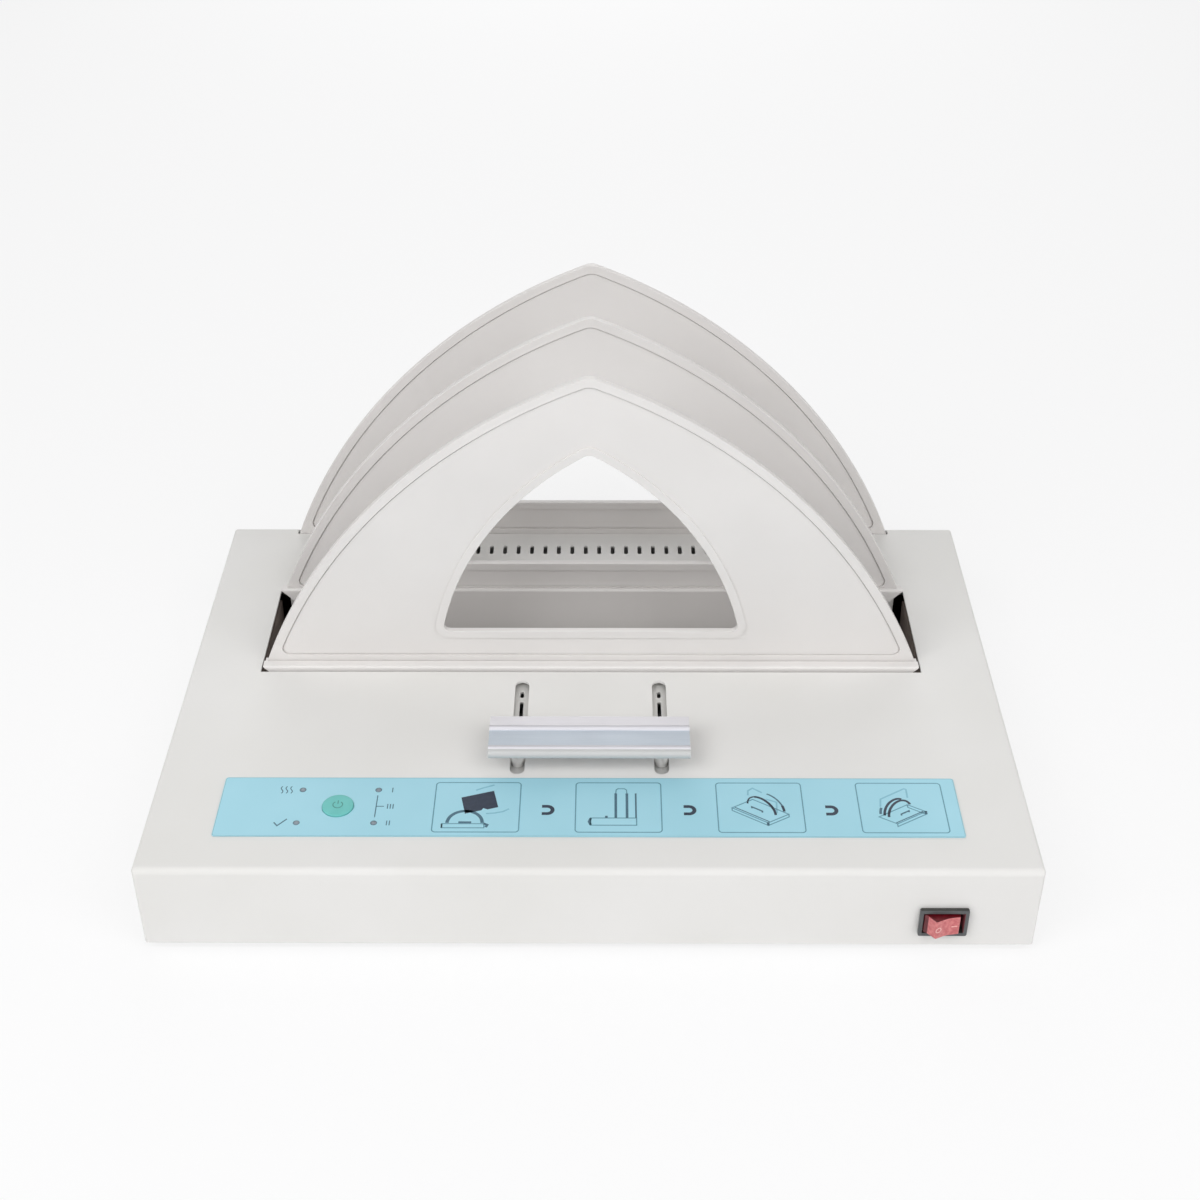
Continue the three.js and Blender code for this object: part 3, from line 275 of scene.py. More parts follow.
def prism(outlines, low, high, lay="flat", into=None):
    """A closed shape between two planes: the first outline is its edge, and the others are holes in it."""
    shape = into or bmesh.new()
    place = LAYS[lay]
    points = [point for outline in outlines for point in outline]
    layers = [[shape.verts.new(place(u, v, w)) for u, v in points] for w in (low, high)]
    made = []
    for triangle in tessellate_polygon([[Vector((u, v, 0)) for u, v in line] for line in outlines]):
        made += [shape.faces.new([layer[i] for i in triangle]) for layer in layers]
    start = 0
    for outline in outlines:
        count = len(outline)
        for i in range(count):
            a, b = start + i, start + (i + 1) % count
            made.append(shape.faces.new([layers[0][a], layers[0][b], layers[1][b], layers[1][a]]))
        start += count
    bmesh.ops.recalc_face_normals(shape, faces=made)
    edges = list(dict.fromkeys(edge for face in made for edge in face.edges))
    verts = layers[0] + layers[1]
    bmesh.ops.dissolve_limit(shape, angle_limit=flat_angle, verts=verts, edges=edges)
    return shape


print("prisms are swept", ", ".join(LAYS))


# %% Turned shapes
def turned(profile, steps=48):
    """A closed shape turned about Z, from (radius, height) pairs that start and end on the axis."""
    shape = bmesh.new()
    turns = [2 * math.pi * i / steps for i in range(steps)]
    rings = []
    for radius, height in profile:
        around = turns if radius > 0 else turns[:1]
        rings.append([shape.verts.new((radius * math.cos(a), radius * math.sin(a), height)) for a in around])
    for below, above in zip(rings, rings[1:]):
        for i in range(steps):
            j = (i + 1) % steps
            corners = [below[i % len(below)], below[j % len(below)]]
            corners += [above[j % len(above)], above[i % len(above)]]
            shape.faces.new(list(dict.fromkeys(corners)))
    bmesh.ops.recalc_face_normals(shape, faces=shape.faces)
    return shape


print("a turned disc has", len(turned([(0, 0), (1, 0), (1, 1), (0, 1)]).faces), "faces")

# %% [markdown]
# Real edges are never knife sharp: sheet is deburred, plastic comes out of the mould with a small radius,
# and it is this radius that catches the light and makes an object look made. So after a shape is cut, its
# sharp edges are rounded with the Bevel modifier, which only takes edges over a given angle, and the flat
# faces get weighted normals, so that a large face stays flat right up to its rounded edge.

# %% Pieces from shapes
round_over = math.radians(42)
sharp_only = math.radians(60)  # leaves blunt edges alone, such as where the beads meet the bar
smooth_below = math.radians(38)


def piece_of(shape, name):
    """The bmesh as a named object of the scene."""
    mesh = bpy.data.meshes.new(name)
    shape.to_mesh(mesh)
    shape.free()
    return add_object(name, mesh)


def applied(piece):
    """The piece with its modifiers turned into mesh."""
    graph = bpy.context.evaluated_depsgraph_get()
    mesh = bpy.data.meshes.new_from_object(piece.evaluated_get(graph))
    piece.modifiers.clear()
    piece.data = mesh
    mesh.name = piece.name
    return piece


def carved(piece, cutter, operation="DIFFERENCE"):
    """The piece with the cutter taken out of it, or added to it by UNION."""
    modifier = piece.modifiers.new("carve", "BOOLEAN")
    modifier.operation = operation
    modifier.solver = "EXACT"
    modifier.object = cutter
    applied(piece)
    bpy.data.objects.remove(cutter)
    return piece


def eased(piece, radius, segments=3, angle=round_over):
    """The piece with its sharp edges rounded and its shading smooth across them."""
    if radius > 0:
        bevel = piece.modifiers.new("ease", "BEVEL")
        bevel.width = radius
        bevel.segments = segments
        bevel.limit_method = "ANGLE"
        bevel.angle_limit = angle
        applied(piece)
    piece.data.shade_smooth()
    piece.data.set_sharp_from_angle(angle=smooth_below)
    weighted = piece.modifiers.new("flat_faces", "WEIGHTED_NORMAL")
    weighted.keep_sharp = True
    return applied(piece)


def softened(node, radius):
    """A copy of a node's own shape, with its flat facets joined and its edges rounded."""
    shape = bmesh.new()
    shape.from_mesh(cad_nodes[node].data)
    bmesh.ops.remove_doubles(shape, verts=shape.verts, dist=0.001 * mm)
    bmesh.ops.dissolve_limit(shape, angle_limit=flat_angle, verts=shape.verts, edges=shape.edges)
    return eased(piece_of(shape, node + "_eased"), radius, 2)


print("pieces are rounded over", round(math.degrees(round_over)), "degrees")

# %% [markdown]
# A finish is more than a colour. Powder coat has a fine orange peel, moulded plastic has a spark-eroded
# grain, drawn aluminium has streaks along its length, and all of them vary a little in tone from place to
# place. Image textures could hold this, but they need unwrapping and go soft in a close view. Noise that is
# worked out from the place on the object has neither fault. Each helper below drives one property of the
# Principled shader from such a noise, with its size in millimetres.

# %% Tones and noise
noise_low, noise_high = 0.3, 0.7  # nearly all of a noise lies between these values


def linear(tone):
    """A colour as the eye sees it, from 0 to 255, as the shader's linear colour."""
    shares = [value / 255 for value in tone]
    return [s / 12.92 if s <= 0.04045 else ((s + 0.055) / 1.055) ** 2.4 for s in shares] + [1.0]


def noise(tree, size, stretch=(1, 1, 1), detail=2.0, kind="TexNoise", output=0):
    """A value that varies in lumps of about that many millimetres, drawn out along the object's axes."""
    place = add_node(tree, "TexCoord", {})
    scale = [1 / (size * mm * s) for s in stretch]
    scaling = add_node(tree, "Mapping", {"Vector": place.outputs["Object"], "Scale": scale})
    texture = add_node(tree, kind, {"Vector": scaling.outputs["Vector"], "Scale": 1.0, "Detail": detail})
    return texture.outputs[output]


print("white is", linear((255, 255, 255))[:3])

# %% Finish helpers
finishes = {}


def drive(tree, socket, output):
    """Links a node's output to a socket of the tree's shader."""
    tree.links.new(output, tree.nodes["Principled BSDF"].inputs[socket])


def tint(name, size, dark, light, low=noise_low, high=noise_high, **pattern):
    """Base colour that runs from a dark to a light tone with the noise."""
    tree = finishes[name].node_tree
    ramp = add_node(tree, "ValToRGB", {"Fac": noise(tree, size, **pattern)})
    for element, position, tone in zip(ramp.color_ramp.elements, (low, high), (dark, light)):
        element.position = position
        element.color = linear(tone)
    drive(tree, "Base Color", ramp.outputs["Color"])


def new_finish(name, size, dark, light, roughness, metallic=0.0, pattern={}, **sockets):
    """A finish by name that drifts between two tones, with its even values set on the shader's sockets."""
    material = bpy.data.materials.new(name)
    material.use_nodes = True
    shader = material.node_tree.nodes["Principled BSDF"]
    middle = [(a + b) / 2 for a, b in zip(dark, light)]
    shader.inputs["Base Color"].default_value = linear(middle)
    shader.inputs["Roughness"].default_value = roughness
    shader.inputs["Metallic"].default_value = metallic
    for socket, value in sockets.items():
        shader.inputs[socket.replace("_", " ")].default_value = value
    finishes[name] = material
    tint(name, size, dark, light, **pattern)
    print("finish", name, "drifts in lumps of", size, "mm")


def gloss(name, size, low, high, **pattern):
    """Roughness that runs between two values."""
    tree = finishes[name].node_tree
    limits = {"From Min": noise_low, "From Max": noise_high, "To Min": low, "To Max": high}
    spread = add_node(tree, "MapRange", {"Value": noise(tree, size, **pattern), **limits})
    drive(tree, "Roughness", spread.outputs["Result"])


def relief(name, size, height, **pattern):
    """Fine relief of that height in millimetres."""
    tree = finishes[name].node_tree
    inputs = {"Strength": 1.0, "Distance": height * mm, "Height": noise(tree, size, **pattern)}
    drive(tree, "Normal", add_node(tree, "Bump", inputs).outputs["Normal"])


print("a tint runs over noise from", noise_low, "to", noise_high)


# %% Fit pieces to their bodies
def fit(piece, body, finish, *nodes, slot_name=None):
    """Gives a piece its finish and its body, and hides the nodes that it stands for."""
    piece.data.materials.clear()
    piece.data.materials.append(finishes[finish])
    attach(piece, body)
    if nodes:
        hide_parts(*nodes)
    print(piece.name, "rides on", body, "with", len(piece.data.polygons), "faces")
    return piece


body_of = {node: body for body, members in frame["record"]["behaviour"]["bodies"].items() for node in members}


def stand_in(piece, *nodes):
    """Fits a piece for nodes, with the body and the finish of the first of them."""
    name = slot_of[nodes[0]]
    return fit(piece, body_of[nodes[0]], name, *nodes, slot_name=name)


def refinish(piece, finish, chosen):
    """Gives the chosen faces of a fitted piece a finish of their own."""
    piece.data.materials.append(finishes[finish])
    for face in piece.data.polygons:
        if chosen(face):
            face.material_index = len(piece.data.materials) - 1


# %% [markdown]
# The housing is powder coated in a warm light grey. The powder melts into a skin with a very fine orange
# peel of about a millimetre, and it is satin rather than glossy. Two noises make it: a slow one for the
# barely visible drift in tone over the large deck, and a fine one for the peel, only some micrometres high.

# %% Powder coat
new_finish("housing_paint", 70, (224, 223, 220), (228, 227, 225), 0.55, Specular_IOR_Level=0.35)
gloss("housing_paint", 4, 0.5, 0.6)
relief("housing_paint", 1.1, 0.012, detail=1.0)

# %% [markdown]
# The cover is one sheet, folded down on four sides. It could be drawn as a solid block, but the sheet's
# thickness shows at the well, the slots and the lower edge. So a five-sided box is bent first, with a large
# radius along the front and smaller ones elsewhere, and the Solidify modifier then gives it its 1.2 mm.
# Bevel weights on the edges let one modifier make three different radii.

# %% Bent shell of the cover
cover_low, cover_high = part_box("top_cover")
deck = cover_high.z
sheet = 1.2 * mm
front_bend = 3.0 * mm
side_bend = 1.6 * mm
corner_bend = 1.4 * mm
bend_segments = 6


def bend_weight(edge):
    """The share of the front bend's radius that an edge of the box takes."""
    ends = [vertex.co for vertex in edge.verts]
    if all(abs(end.z - cover_high.z) < curve_error for end in ends):
        at_front = all(abs(end.y - cover_low.y) < curve_error for end in ends)
        return 1.0 if at_front else side_bend / front_bend
    if all(abs(end.z - cover_low.z) < curve_error for end in ends):
        return 0.0
    return corner_bend / front_bend


def cover_shell():
    outline = rectangle(cover_low.x, cover_high.x, cover_low.y, cover_high.y)
    shape = prism([outline], cover_low.z, cover_high.z)
    bmesh.ops.delete(shape, geom=[face for face in shape.faces if face.normal.z < -0.9], context="FACES")
    weights = shape.edges.layers.float.new("bevel_weight_edge")
    for edge in shape.edges:
        edge[weights] = bend_weight(edge)
    piece = piece_of(shape, "painted_cover")
    bend = piece.modifiers.new("bend", "BEVEL")
    bend.limit_method = "WEIGHT"
    bend.width = front_bend
    bend.segments = bend_segments
    wall = piece.modifiers.new("wall", "SOLIDIFY")
    wall.thickness = sheet
    wall.offset = -1.0
    wall.use_even_offset = True
    return applied(piece)


painted_cover = cover_shell()
print("shell of", len(painted_cover.data.polygons), "faces")

# %% [markdown]
# All openings of the cover are punched: the well, the slot that the back arch comes through, two slots for
# the handle's posts, a row of cooling slots, and the holes under the panel and in the walls. Each could be a
# Boolean of its own, but one Boolean with all the cutters in one mesh is faster and keeps the sheet clean.
# The places come from the pieces that sit in the openings.

# %% Places of the openings
def centre_of(node):
    low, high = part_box(node)
    return (low + high) / 2


middle_low, middle_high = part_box("middle_arch")
front_low, front_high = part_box("front_arch")
back_low, back_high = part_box("back_arch")
arch_half = back_high.x
arch_thickness = back_high.y - back_low.y
foot_half = front_high.x
well_gap = 1.2 * mm
well_behind = 3.5 * mm  # from the middle arch to the well's rear edge
well_half = foot_half + well_gap
well_front = front_low.y - well_gap
well_rear = middle_high.y + well_behind
posts = [centre_of("handle_post_" + side) for side in ("left", "right")]
post_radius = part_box("handle_post_left")[1].y - posts[0].y
travel = frame["joints"][0]["range_m"][1]
post_play = 0.7 * mm
slot_before_post = 7.8 * mm
slot_after_travel = 3.8 * mm
handle_slot_width = 2 * post_radius + post_play
handle_slot_front = posts[0].y - post_radius - slot_before_post
handle_slot_rear = posts[0].y + post_radius + travel + slot_after_travel
vent_count = 36
vent_pitch = 7.1 * mm
vent_width = 2.1 * mm
vent_length = 8 * mm
vent_y = back_low.y - 15.5 * mm  # the row's middle, in front of the back arch
button_low, button_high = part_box("button_cap")
button_middle = centre_of("button_cap")
button_radius = 6.9 * mm
button_gap = 0.12 * mm
lamp_names = ("lamp_heat", "lamp_done", "lamp_level_upper", "lamp_level_lower")
lamp_places = [centre_of(name) for name in lamp_names]
lamp_radius = 1.5 * mm
running_gap = 0.35 * mm
print("well of", round(2 * well_half / mm, 1), "by", round((well_rear - well_front) / mm, 1), "mm")

# %% Punch the cover
overrun = 1.0 * mm  # how far a cutter stands out of what it cuts
punch_reach = 3 * sheet
punched_edge = 0.3 * mm


def deck_outlines():
    """Every opening of the deck, seen from above."""
    outlines = [rectangle(-well_half, well_half, well_front, well_rear)]
    reach = arch_half + overrun
    outlines.append(rectangle(-reach, reach, back_low.y - running_gap, back_high.y + running_gap))
    slot_y = (handle_slot_front + handle_slot_rear) / 2
    for post in posts:
        outlines.append(slot(post.x, slot_y, handle_slot_width, handle_slot_rear - handle_slot_front))
    for i in range(vent_count):
        x = (i - (vent_count - 1) / 2) * vent_pitch
        outlines.append(slot(x, vent_y, vent_width, vent_length))
    outlines.append(circle(button_middle.x, button_middle.y, button_radius + button_gap))
    outlines += [circle(lamp.x, lamp.y, lamp_radius + running_gap) for lamp in lamp_places]
    return outlines


switch_half = Vector((9.6, 0, 6.6)) * mm
inlet_half = Vector((13.7, 0, 9.9)) * mm
cover_screws = [centre_of("cover_screw_" + str(i)) for i in (1, 2, 3, 4)]
screw_hole = 1.7 * mm


def cover_cutter():
    cutter = bmesh.new()
    for outline in deck_outlines():
        prism([outline], deck - sheet - overrun, deck + overrun, into=cutter)
    walls = (("switch_housing", switch_half, cover_low.y), ("mains_inlet", inlet_half, cover_high.y))
    for node, half, wall in walls:
        middle = centre_of(node)
        outline = rectangle(middle.x - half.x, middle.x + half.x, middle.z - half.z, middle.z + half.z)
        prism([outline], wall - punch_reach, wall + punch_reach, "upright", cutter)
    for place in cover_screws:
        side = math.copysign(cover_high.x, place.x)
        hole = circle(place.y, place.z, screw_hole)
        prism([hole], side - punch_reach, side + punch_reach, "lengthways", cutter)
    return piece_of(cutter, "cover_cutter")


carved(painted_cover, cover_cutter())
eased(painted_cover, punched_edge, 2, sharp_only)
stand_in(painted_cover, "top_cover")

# %% [markdown]
# The arches are injection mouldings in the same light grey, a shade warmer than the paint and with a finer,
# duller grain. Under soft light a moulding shows almost nothing but its shape, so the grain is very shallow.

# %% Arch moulding finish
new_finish("arch_moulding", 55, (220, 217, 215), (224, 221, 219), 0.5)
gloss("arch_moulding", 2, 0.46, 0.54)
relief("arch_moulding", 0.35, 0.004, detail=1.0)

# %% [markdown]
# Each arch is a pointed arch, as in a church window: two circular sides whose centres lie beyond the middle
# line, so they meet in a point. Tracing its edge with many points would work, but two arcs say the same with
# one radius. The opening has the same form with a smaller radius, and the raised rims simply follow both
# outlines at a fixed distance, with the same centres.

# %% Pointed outlines
arch_height = back_high.z - deck
arch_radius = 273 * mm
arch_tip = 8 * mm
opening_half = 70.7 * mm
opening_sill = 19.4 * mm
opening_height = 117.6 * mm
opening_radius = 145 * mm
opening_tip = 5 * mm
opening_corner = 3 * mm


def arch_centre(half, base, apex, radius):
    """Centre of the circle through the lower right corner and the apex of a pointed arch."""
    corner, point = Vector((half, base)), Vector((0, apex))
    chord = point - corner
    reach = math.sqrt(radius**2 - (chord.length / 2) ** 2)
    along = chord.normalized()
    return (corner + point) / 2 + Vector((-along.y, along.x)) * reach


def pointed(centre, radius, base, tip, corner, skirt=0.0):
    """A pointed outline with a rounded tip and rounded lower corners, measured from the deck."""
    tip_y = centre.y + math.sqrt((radius - tip) ** 2 - centre.x**2)
    tip_angle = math.degrees(math.atan2(tip_y - centre.y, -centre.x))
    corner_rise = base + corner - centre.y
    corner_x = centre.x + math.sqrt((radius - corner) ** 2 - corner_rise**2)
    side_angle = math.degrees(math.atan2(corner_rise, corner_x - centre.x))
    right = arc(corner_x, base + corner, corner, -90, side_angle) if corner > 0 else []
    right += arc(*centre, radius, side_angle, tip_angle)[1 if corner > 0 else 0 :]
    if skirt > 0:
        right.insert(0, (right[0][0], base - skirt))
    crown = arc(0, tip_y, tip, tip_angle, 180 - tip_angle)[1:-1]
    left = [(-u, v) for u, v in reversed(right)]
    return [(u, v + deck) for u, v in right + crown + left]


outer_centre = arch_centre(arch_half, 0, arch_height, arch_radius)
opening_centre = arch_centre(opening_half, opening_sill, opening_height, opening_radius)
print("arch centre", outer_centre, "opening centre", opening_centre)

# %% [markdown]
# The field between the two rims is sunk by 0.7 mm on both faces, and a fine groove runs along its edge. The
# plate is swept first and its outer edges are rounded. Then the groove and the field are cut from both faces.
# The groove is cut first and the field's own edge then falls inside it, because a Boolean leaves slivers
# where two cuts share a wall. A smaller rounding follows for the rims.

# %% Arch plates
rim_width = 4.1 * mm
lower_rim = 3.0 * mm
opening_rim = 4 * mm
rim_step = 0.7 * mm
field_corner = 3.5 * mm
edge_groove = 0.5 * mm
plate_edge = 0.4 * mm
rim_edge = 0.16 * mm


def field_outline(base, inset):
    """The outer edge of the sunken field, drawn in by the inset."""
    radius = arch_radius - rim_width - inset
    return pointed(outer_centre, radius, base + inset, arch_tip - inset, field_corner - inset)


def opening_outline(outset):
    """The opening's outline, drawn out by the outset."""
    radius, sill = opening_radius + outset, opening_sill - outset
    return pointed(opening_centre, radius, sill, opening_tip + outset, opening_corner + outset)


def cut_both_faces(plate, outlines, front, depth):
    rear = front + arch_thickness
    cutter = prism(outlines, front - overrun, front + depth, "upright")
    prism(outlines, rear - depth, rear + overrun, "upright", cutter)
    return carved(plate, piece_of(cutter, "face_cutter"))


def arch_plate(name, front, skirt, base):
    """The pointed plate with its opening, its rims and its skirt below the deck."""
    rear = front + arch_thickness
    outside = pointed(outer_centre, arch_radius, 0, arch_tip, 0, skirt)
    plate = prism([outside, opening_outline(0)], front, rear, "upright")
    plate = eased(piece_of(plate, name), plate_edge)
    ring = [field_outline(base, 0), field_outline(base, edge_groove)]
    cut_both_faces(plate, ring, front, rim_step + edge_groove)
    field = [field_outline(base, edge_groove / 2), opening_outline(opening_rim)]
    return cut_both_faces(plate, field, front, rim_step)


back_plate = arch_plate("back_arch_moulding", back_low.y, deck - back_low.z, lower_rim)
stand_in(eased(back_plate, rim_edge, 2), "back_arch")

# %% [markdown]
# The two arches that stand in the well also have a thick foot along the front of the plate, and the pages are
# pressed between such feet. The foot of the middle arch is a bar down to the heater, and that of the sliding
# arch is a low, wide ledge. Both have a rounded edge, a groove along the plate and a slanting cut under each
# end, which lets them drop into the well past its corners.

# %% Feet of the arches
foot_round = 1.2 * mm
foot_groove_width = 0.7 * mm
foot_groove_depth = 0.8 * mm
foot_cut = 7 * mm
foot_cut_drop = 0.5 * mm
foot_inset = 0.2 * mm  # from the plate's rear face to the bar that is joined to it


def arch_foot(name, front, step, low, rise):
    """The thick foot as a bar along X. Its groove leaves no wall in the plane of the plate's face."""
    top = deck + rise
    floor = top - foot_groove_depth
    rear = front + arch_thickness - foot_inset
    profile = [(front - step, low), (rear, low), (rear, floor), (front - foot_groove_width, floor)]
    profile.append((front - foot_groove_width, top))
    profile += arc(front - step + foot_round, top - foot_round, foot_round, 90, 180)
    return piece_of(prism([profile], -foot_half, foot_half, "lengthways"), name + "_foot")


def end_cutter(front, step, low, rise):
    """The slanting cut under both ends of a foot, and all that hangs below it."""
    high = deck + rise - foot_cut_drop
    inner, outer, under = foot_half - foot_cut, foot_half + overrun, low - overrun
    cutter = bmesh.new()
    for side in (-1, 1):
        outline = [(outer, high), (foot_half, high), (inner, high - foot_cut), (inner, under), (outer, under)]
        mirrored = [(side * u, v) for u, v in outline]
        prism([mirrored], front - step - overrun, front + arch_thickness + overrun, "upright", cutter)
    return piece_of(cutter, "end_cutter")


def well_arch(node, low, high, rise, drop, base):
    """A plate and its foot joined into one moulding."""
    front = high.y - arch_thickness
    step = front - low.y
    plate = arch_plate(node + "_moulding", front, deck - low.z, base)
    carved(plate, arch_foot(node, front, step, deck - drop, rise), "UNION")
    carved(plate, end_cutter(front, step, low.z, rise))
    return stand_in(eased(plate, rim_edge, 2), node)


slide_foot_rise = 2.2 * mm
slide_foot_drop = 9 * mm
middle_foot_rise = 5.2 * mm
well_arch("front_arch", front_low, front_high, slide_foot_rise, slide_foot_drop, slide_foot_rise + lower_rim)
well_arch("middle_arch", middle_low, middle_high, middle_foot_rise, deck - middle_low.z, middle_foot_rise)

# %% [markdown]
# The handle is cut from an extruded aluminium profile and anodised. The die leaves very fine streaks along
# the bar, and they stretch every highlight across them. The streaks are noise drawn out along X, used for
# the tone, the roughness and the relief together, and the shader's anisotropy does the rest.

# %% Anodised aluminium
streaks = {"stretch": (120, 1, 1), "detail": 3.0}
soft_streaks = {"stretch": (120, 1, 1)}
new_finish("anodised_aluminium", 0.16, (203, 202, 207), (213, 212, 215), 0.5, 1.0, streaks, Anisotropic=0.3)
gloss("anodised_aluminium", 0.16, 0.48, 0.58, **streaks)
relief("anodised_aluminium", 0.16, 0.003, **streaks)
# The channel's bluish tone is a painted reflection. The darker tones of the beads and the front lip are painted
# shade that tones down their highlights.
new_finish("anodised_channel", 0.16, (178, 187, 196), (188, 195, 203), 0.5, 1.0, streaks, Anisotropic=0.3)
new_finish("anodised_beads", 0.16, (183, 182, 187), (193, 192, 197), 0.6, 0.7, soft_streaks)
new_finish("anodised_lip", 0.16, (184, 185, 185), (192, 193, 193), 0.6, 0.2, soft_streaks)
finishes["handle_bar"] = finishes["anodised_aluminium"]  # under the name of the bar's slot too

# %% Plated steel and aluminium finishes
new_finish("plated_steel", 6, (228, 227, 225), (236, 235, 233), 0.45, 0.3)
gloss("plated_steel", 6, 0.54, 0.6)
relief("plated_steel", 0.6, 0.001, detail=1.0)

spangle = {"kind": "TexVoronoi", "output": 1, "low": 0.0, "high": 1.0}
new_finish("zinc_sheet", 5, (204, 203, 200), (208, 207, 204), 0.5, 0.35, spangle)
gloss("zinc_sheet", 3, 0.45, 0.56)
relief("zinc_sheet", 0.3, 0.003)

# %% [markdown]
# The bar's profile has two round beads that give the fingers a hold, and a shallow channel between them.
# It is one outline with arcs, swept along X, and its sawn ends are only just broken. The two posts are
# turned, so a profile that is spun round Z makes them.

# %% Handle bar
bar_low, bar_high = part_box("handle_bar")
bead_radius = 1.6 * mm
bead_rise = 0.9 * mm
bead_offset = 7 * mm
beads_forward = 1.75 * mm  # from the bar's middle to the middle of the channel
channel_depth = 0.5 * mm
bar_front_edge = 2.6 * mm
bar_rear_edge = 0.6 * mm
bar_rear_reach = 1.0 * mm
bar_lower_edge = 0.5 * mm
sawn_edge = 0.15 * mm
lip_share = 0.95  # of the front edge's radius, up to where the lip's own finish goes
channel_y = centre_of("handle_bar").y - beads_forward


def bar_profile():
    """The bar's section in Y and Z, from its lower front corner round."""
    front, rear, low = bar_low.y, bar_high.y + bar_rear_reach, bar_low.z
    top = bar_high.z - bead_rise
    bead_z = bar_high.z - bead_radius
    outer = math.degrees(math.asin((top - bead_z) / bead_radius))
    inner = math.degrees(math.asin((bead_z - top + channel_depth) / bead_radius))
    profile = arc(front + bar_lower_edge, low + bar_lower_edge, bar_lower_edge, 180, 270)
    profile += arc(rear - bar_lower_edge, low + bar_lower_edge, bar_lower_edge, 270, 360)
    profile += arc(rear - bar_rear_edge, top - bar_rear_edge, bar_rear_edge, 0, 90)
    profile += arc(channel_y + bead_offset, bead_z, bead_radius, outer, 180 + inner)
    profile += arc(channel_y - bead_offset, bead_z, bead_radius, -inner, 180 - outer)
    return profile + arc(front + bar_front_edge, top - bar_front_edge, bar_front_edge, 90, 180)


bar = piece_of(prism([bar_profile()], bar_low.x, bar_high.x, "lengthways"), "anodised_handle_bar")
stand_in(eased(bar, sawn_edge, 2, sharp_only), "handle_bar")
channel_half = bead_offset - bead_radius
bead_foot = bar_high.z - bead_rise + curve_error
lip_rear = bar_low.y + lip_share * bar_front_edge


def in_channel(face):
    return face.normal.z > 0.9 and abs(face.center.y - channel_y) < channel_half


# The channel gets a painted reflection of blue, and the beads and the lip get darker tones as painted shade.
refinish(bar, "anodised_channel", in_channel)
refinish(bar, "anodised_beads", lambda face: face.center.z > bead_foot)
refinish(bar, "anodised_lip", lambda face: face.center.y < lip_rear and abs(face.normal.x) < 0.5)

# %% Handle posts
for side, post in zip(("left", "right"), posts):
    low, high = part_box("handle_post_" + side)
    profile = [(0, low.z), (post_radius, low.z), (post_radius, high.z), (0, high.z)]
    turned_post = piece_of(turned(profile), "turned_post_" + side)
    turned_post.data.transform(Matrix.Translation((post.x, post.y, 0)))
    stand_in(eased(turned_post, 0.2 * mm, 2), "handle_post_" + side)

# %% [markdown]
# The label is a polyester film, printed from behind in light blue and stuck to the deck. Its satin face has
# a hair-fine texture that keeps it from mirroring. Film and inks are separate pieces: the frames, pictograms
# and marks could be painted by a shader, but as thin raised shapes they stay crisp at any distance.

# %% Label finishes
new_finish("label_film", 40, (156, 208, 223), (162, 212, 227), 0.45, Coat_Weight=0.1)
relief("label_film", 0.25, 0.002, detail=1.0)

ink_tones = {
    "dark": (26, 38, 56),
    "mark": (62, 98, 116),
    "line": (88, 138, 156),
    "pale": (124, 178, 196),
    # edge: a darker band all round the film, painted shade for the thin line of shade at its edge
    "edge": (136, 182, 194),
}
ink_drift = 8
for ink, tone in ink_tones.items():
    lighter = [value + ink_drift for value in tone]
    new_finish(ink + "_ink", 2, tone, lighter, 0.5)

# %% Film
film_low, film_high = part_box("control_overlay")
film_corner = 1.2 * mm
film_outline = rounded(film_low.x, film_high.x, film_low.y, film_high.y, film_corner)
film_hole = circle(button_middle.x, button_middle.y, button_radius + button_gap)
film = piece_of(prism([film_outline, film_hole], film_low.z, film_high.z), "printed_film")
stand_in(eased(film, 0.1 * mm, 2), "control_overlay")

# %% [markdown]
# Printed lines are ribbons of constant width. A small function offsets a list of points to both sides and
# closes the ends, and another one lays the ribbon on the film. Each ink is collected in one mesh, because a
# print has no moving pieces.

# %% Printing
ink_height = 0.03 * mm
ink_bite = 0.05 * mm
least_slant = 0.35  # keeps the mitre at a sharp corner short
inks = {}


def lay_ink(ink, outlines):
    """Adds a closed shape of ink, with any holes, to the ink's mesh on the film."""
    if ink not in inks:
        inks[ink] = bmesh.new()
    prism(outlines, film_high.z - ink_bite, film_high.z + ink_height, into=inks[ink])


def ribbon(points, width, closed=False):
    """The outlines of a line of that width: one for an open line, and an edge and a hole for a closed one."""
    spots = [Vector(point) for point in points]
    legs = [(end - start).normalized() for start, end in zip(spots, spots[1:] + spots[:1])]
    sides = ([], [])
    for i, spot in enumerate(spots):
        before = legs[i - 1] if closed or i > 0 else legs[0]
        after = legs[i] if closed or i < len(spots) - 1 else before
        along = (before + after).normalized()
        across = Vector((-along.y, along.x))
        stretch = 1 / max(least_slant, abs(across.dot(Vector((-before.y, before.x)))))
        offset = across * width / 2 * stretch
        sides[0].append(tuple(spot + offset))
        sides[1].append(tuple(spot - offset))
    if closed:
        return [sides[1], sides[0]] if signed_area(points) > 0 else [sides[0], sides[1]]
    return [sides[0] + sides[1][::-1]]


def signed_area(points):
    """Twice the area inside the points, positive when they run anticlockwise."""
    return sum(a[0] * b[1] - b[0] * a[1] for a, b in zip(points, points[1:] + points[:1]))


def draw(ink, points, width, closed=False):
    lay_ink(ink, ribbon(points, width, closed))


def ink_faces():
    return sum(len(shape.faces) for shape in inks.values())


print("ink stands", ink_height / mm, "mm over the film")

# %% [markdown]
# The four pictograms show the steps of binding: put the pages in, stand them in the well, let the machine
# heat, and move them to the cooling place. They are plain line drawings. The two that show the machine at an
# angle are made by an oblique projection: a function turns a place on a simple machine of unit length and
# depth into a place on the panel, so base, arches and booklet stay in line with each other.

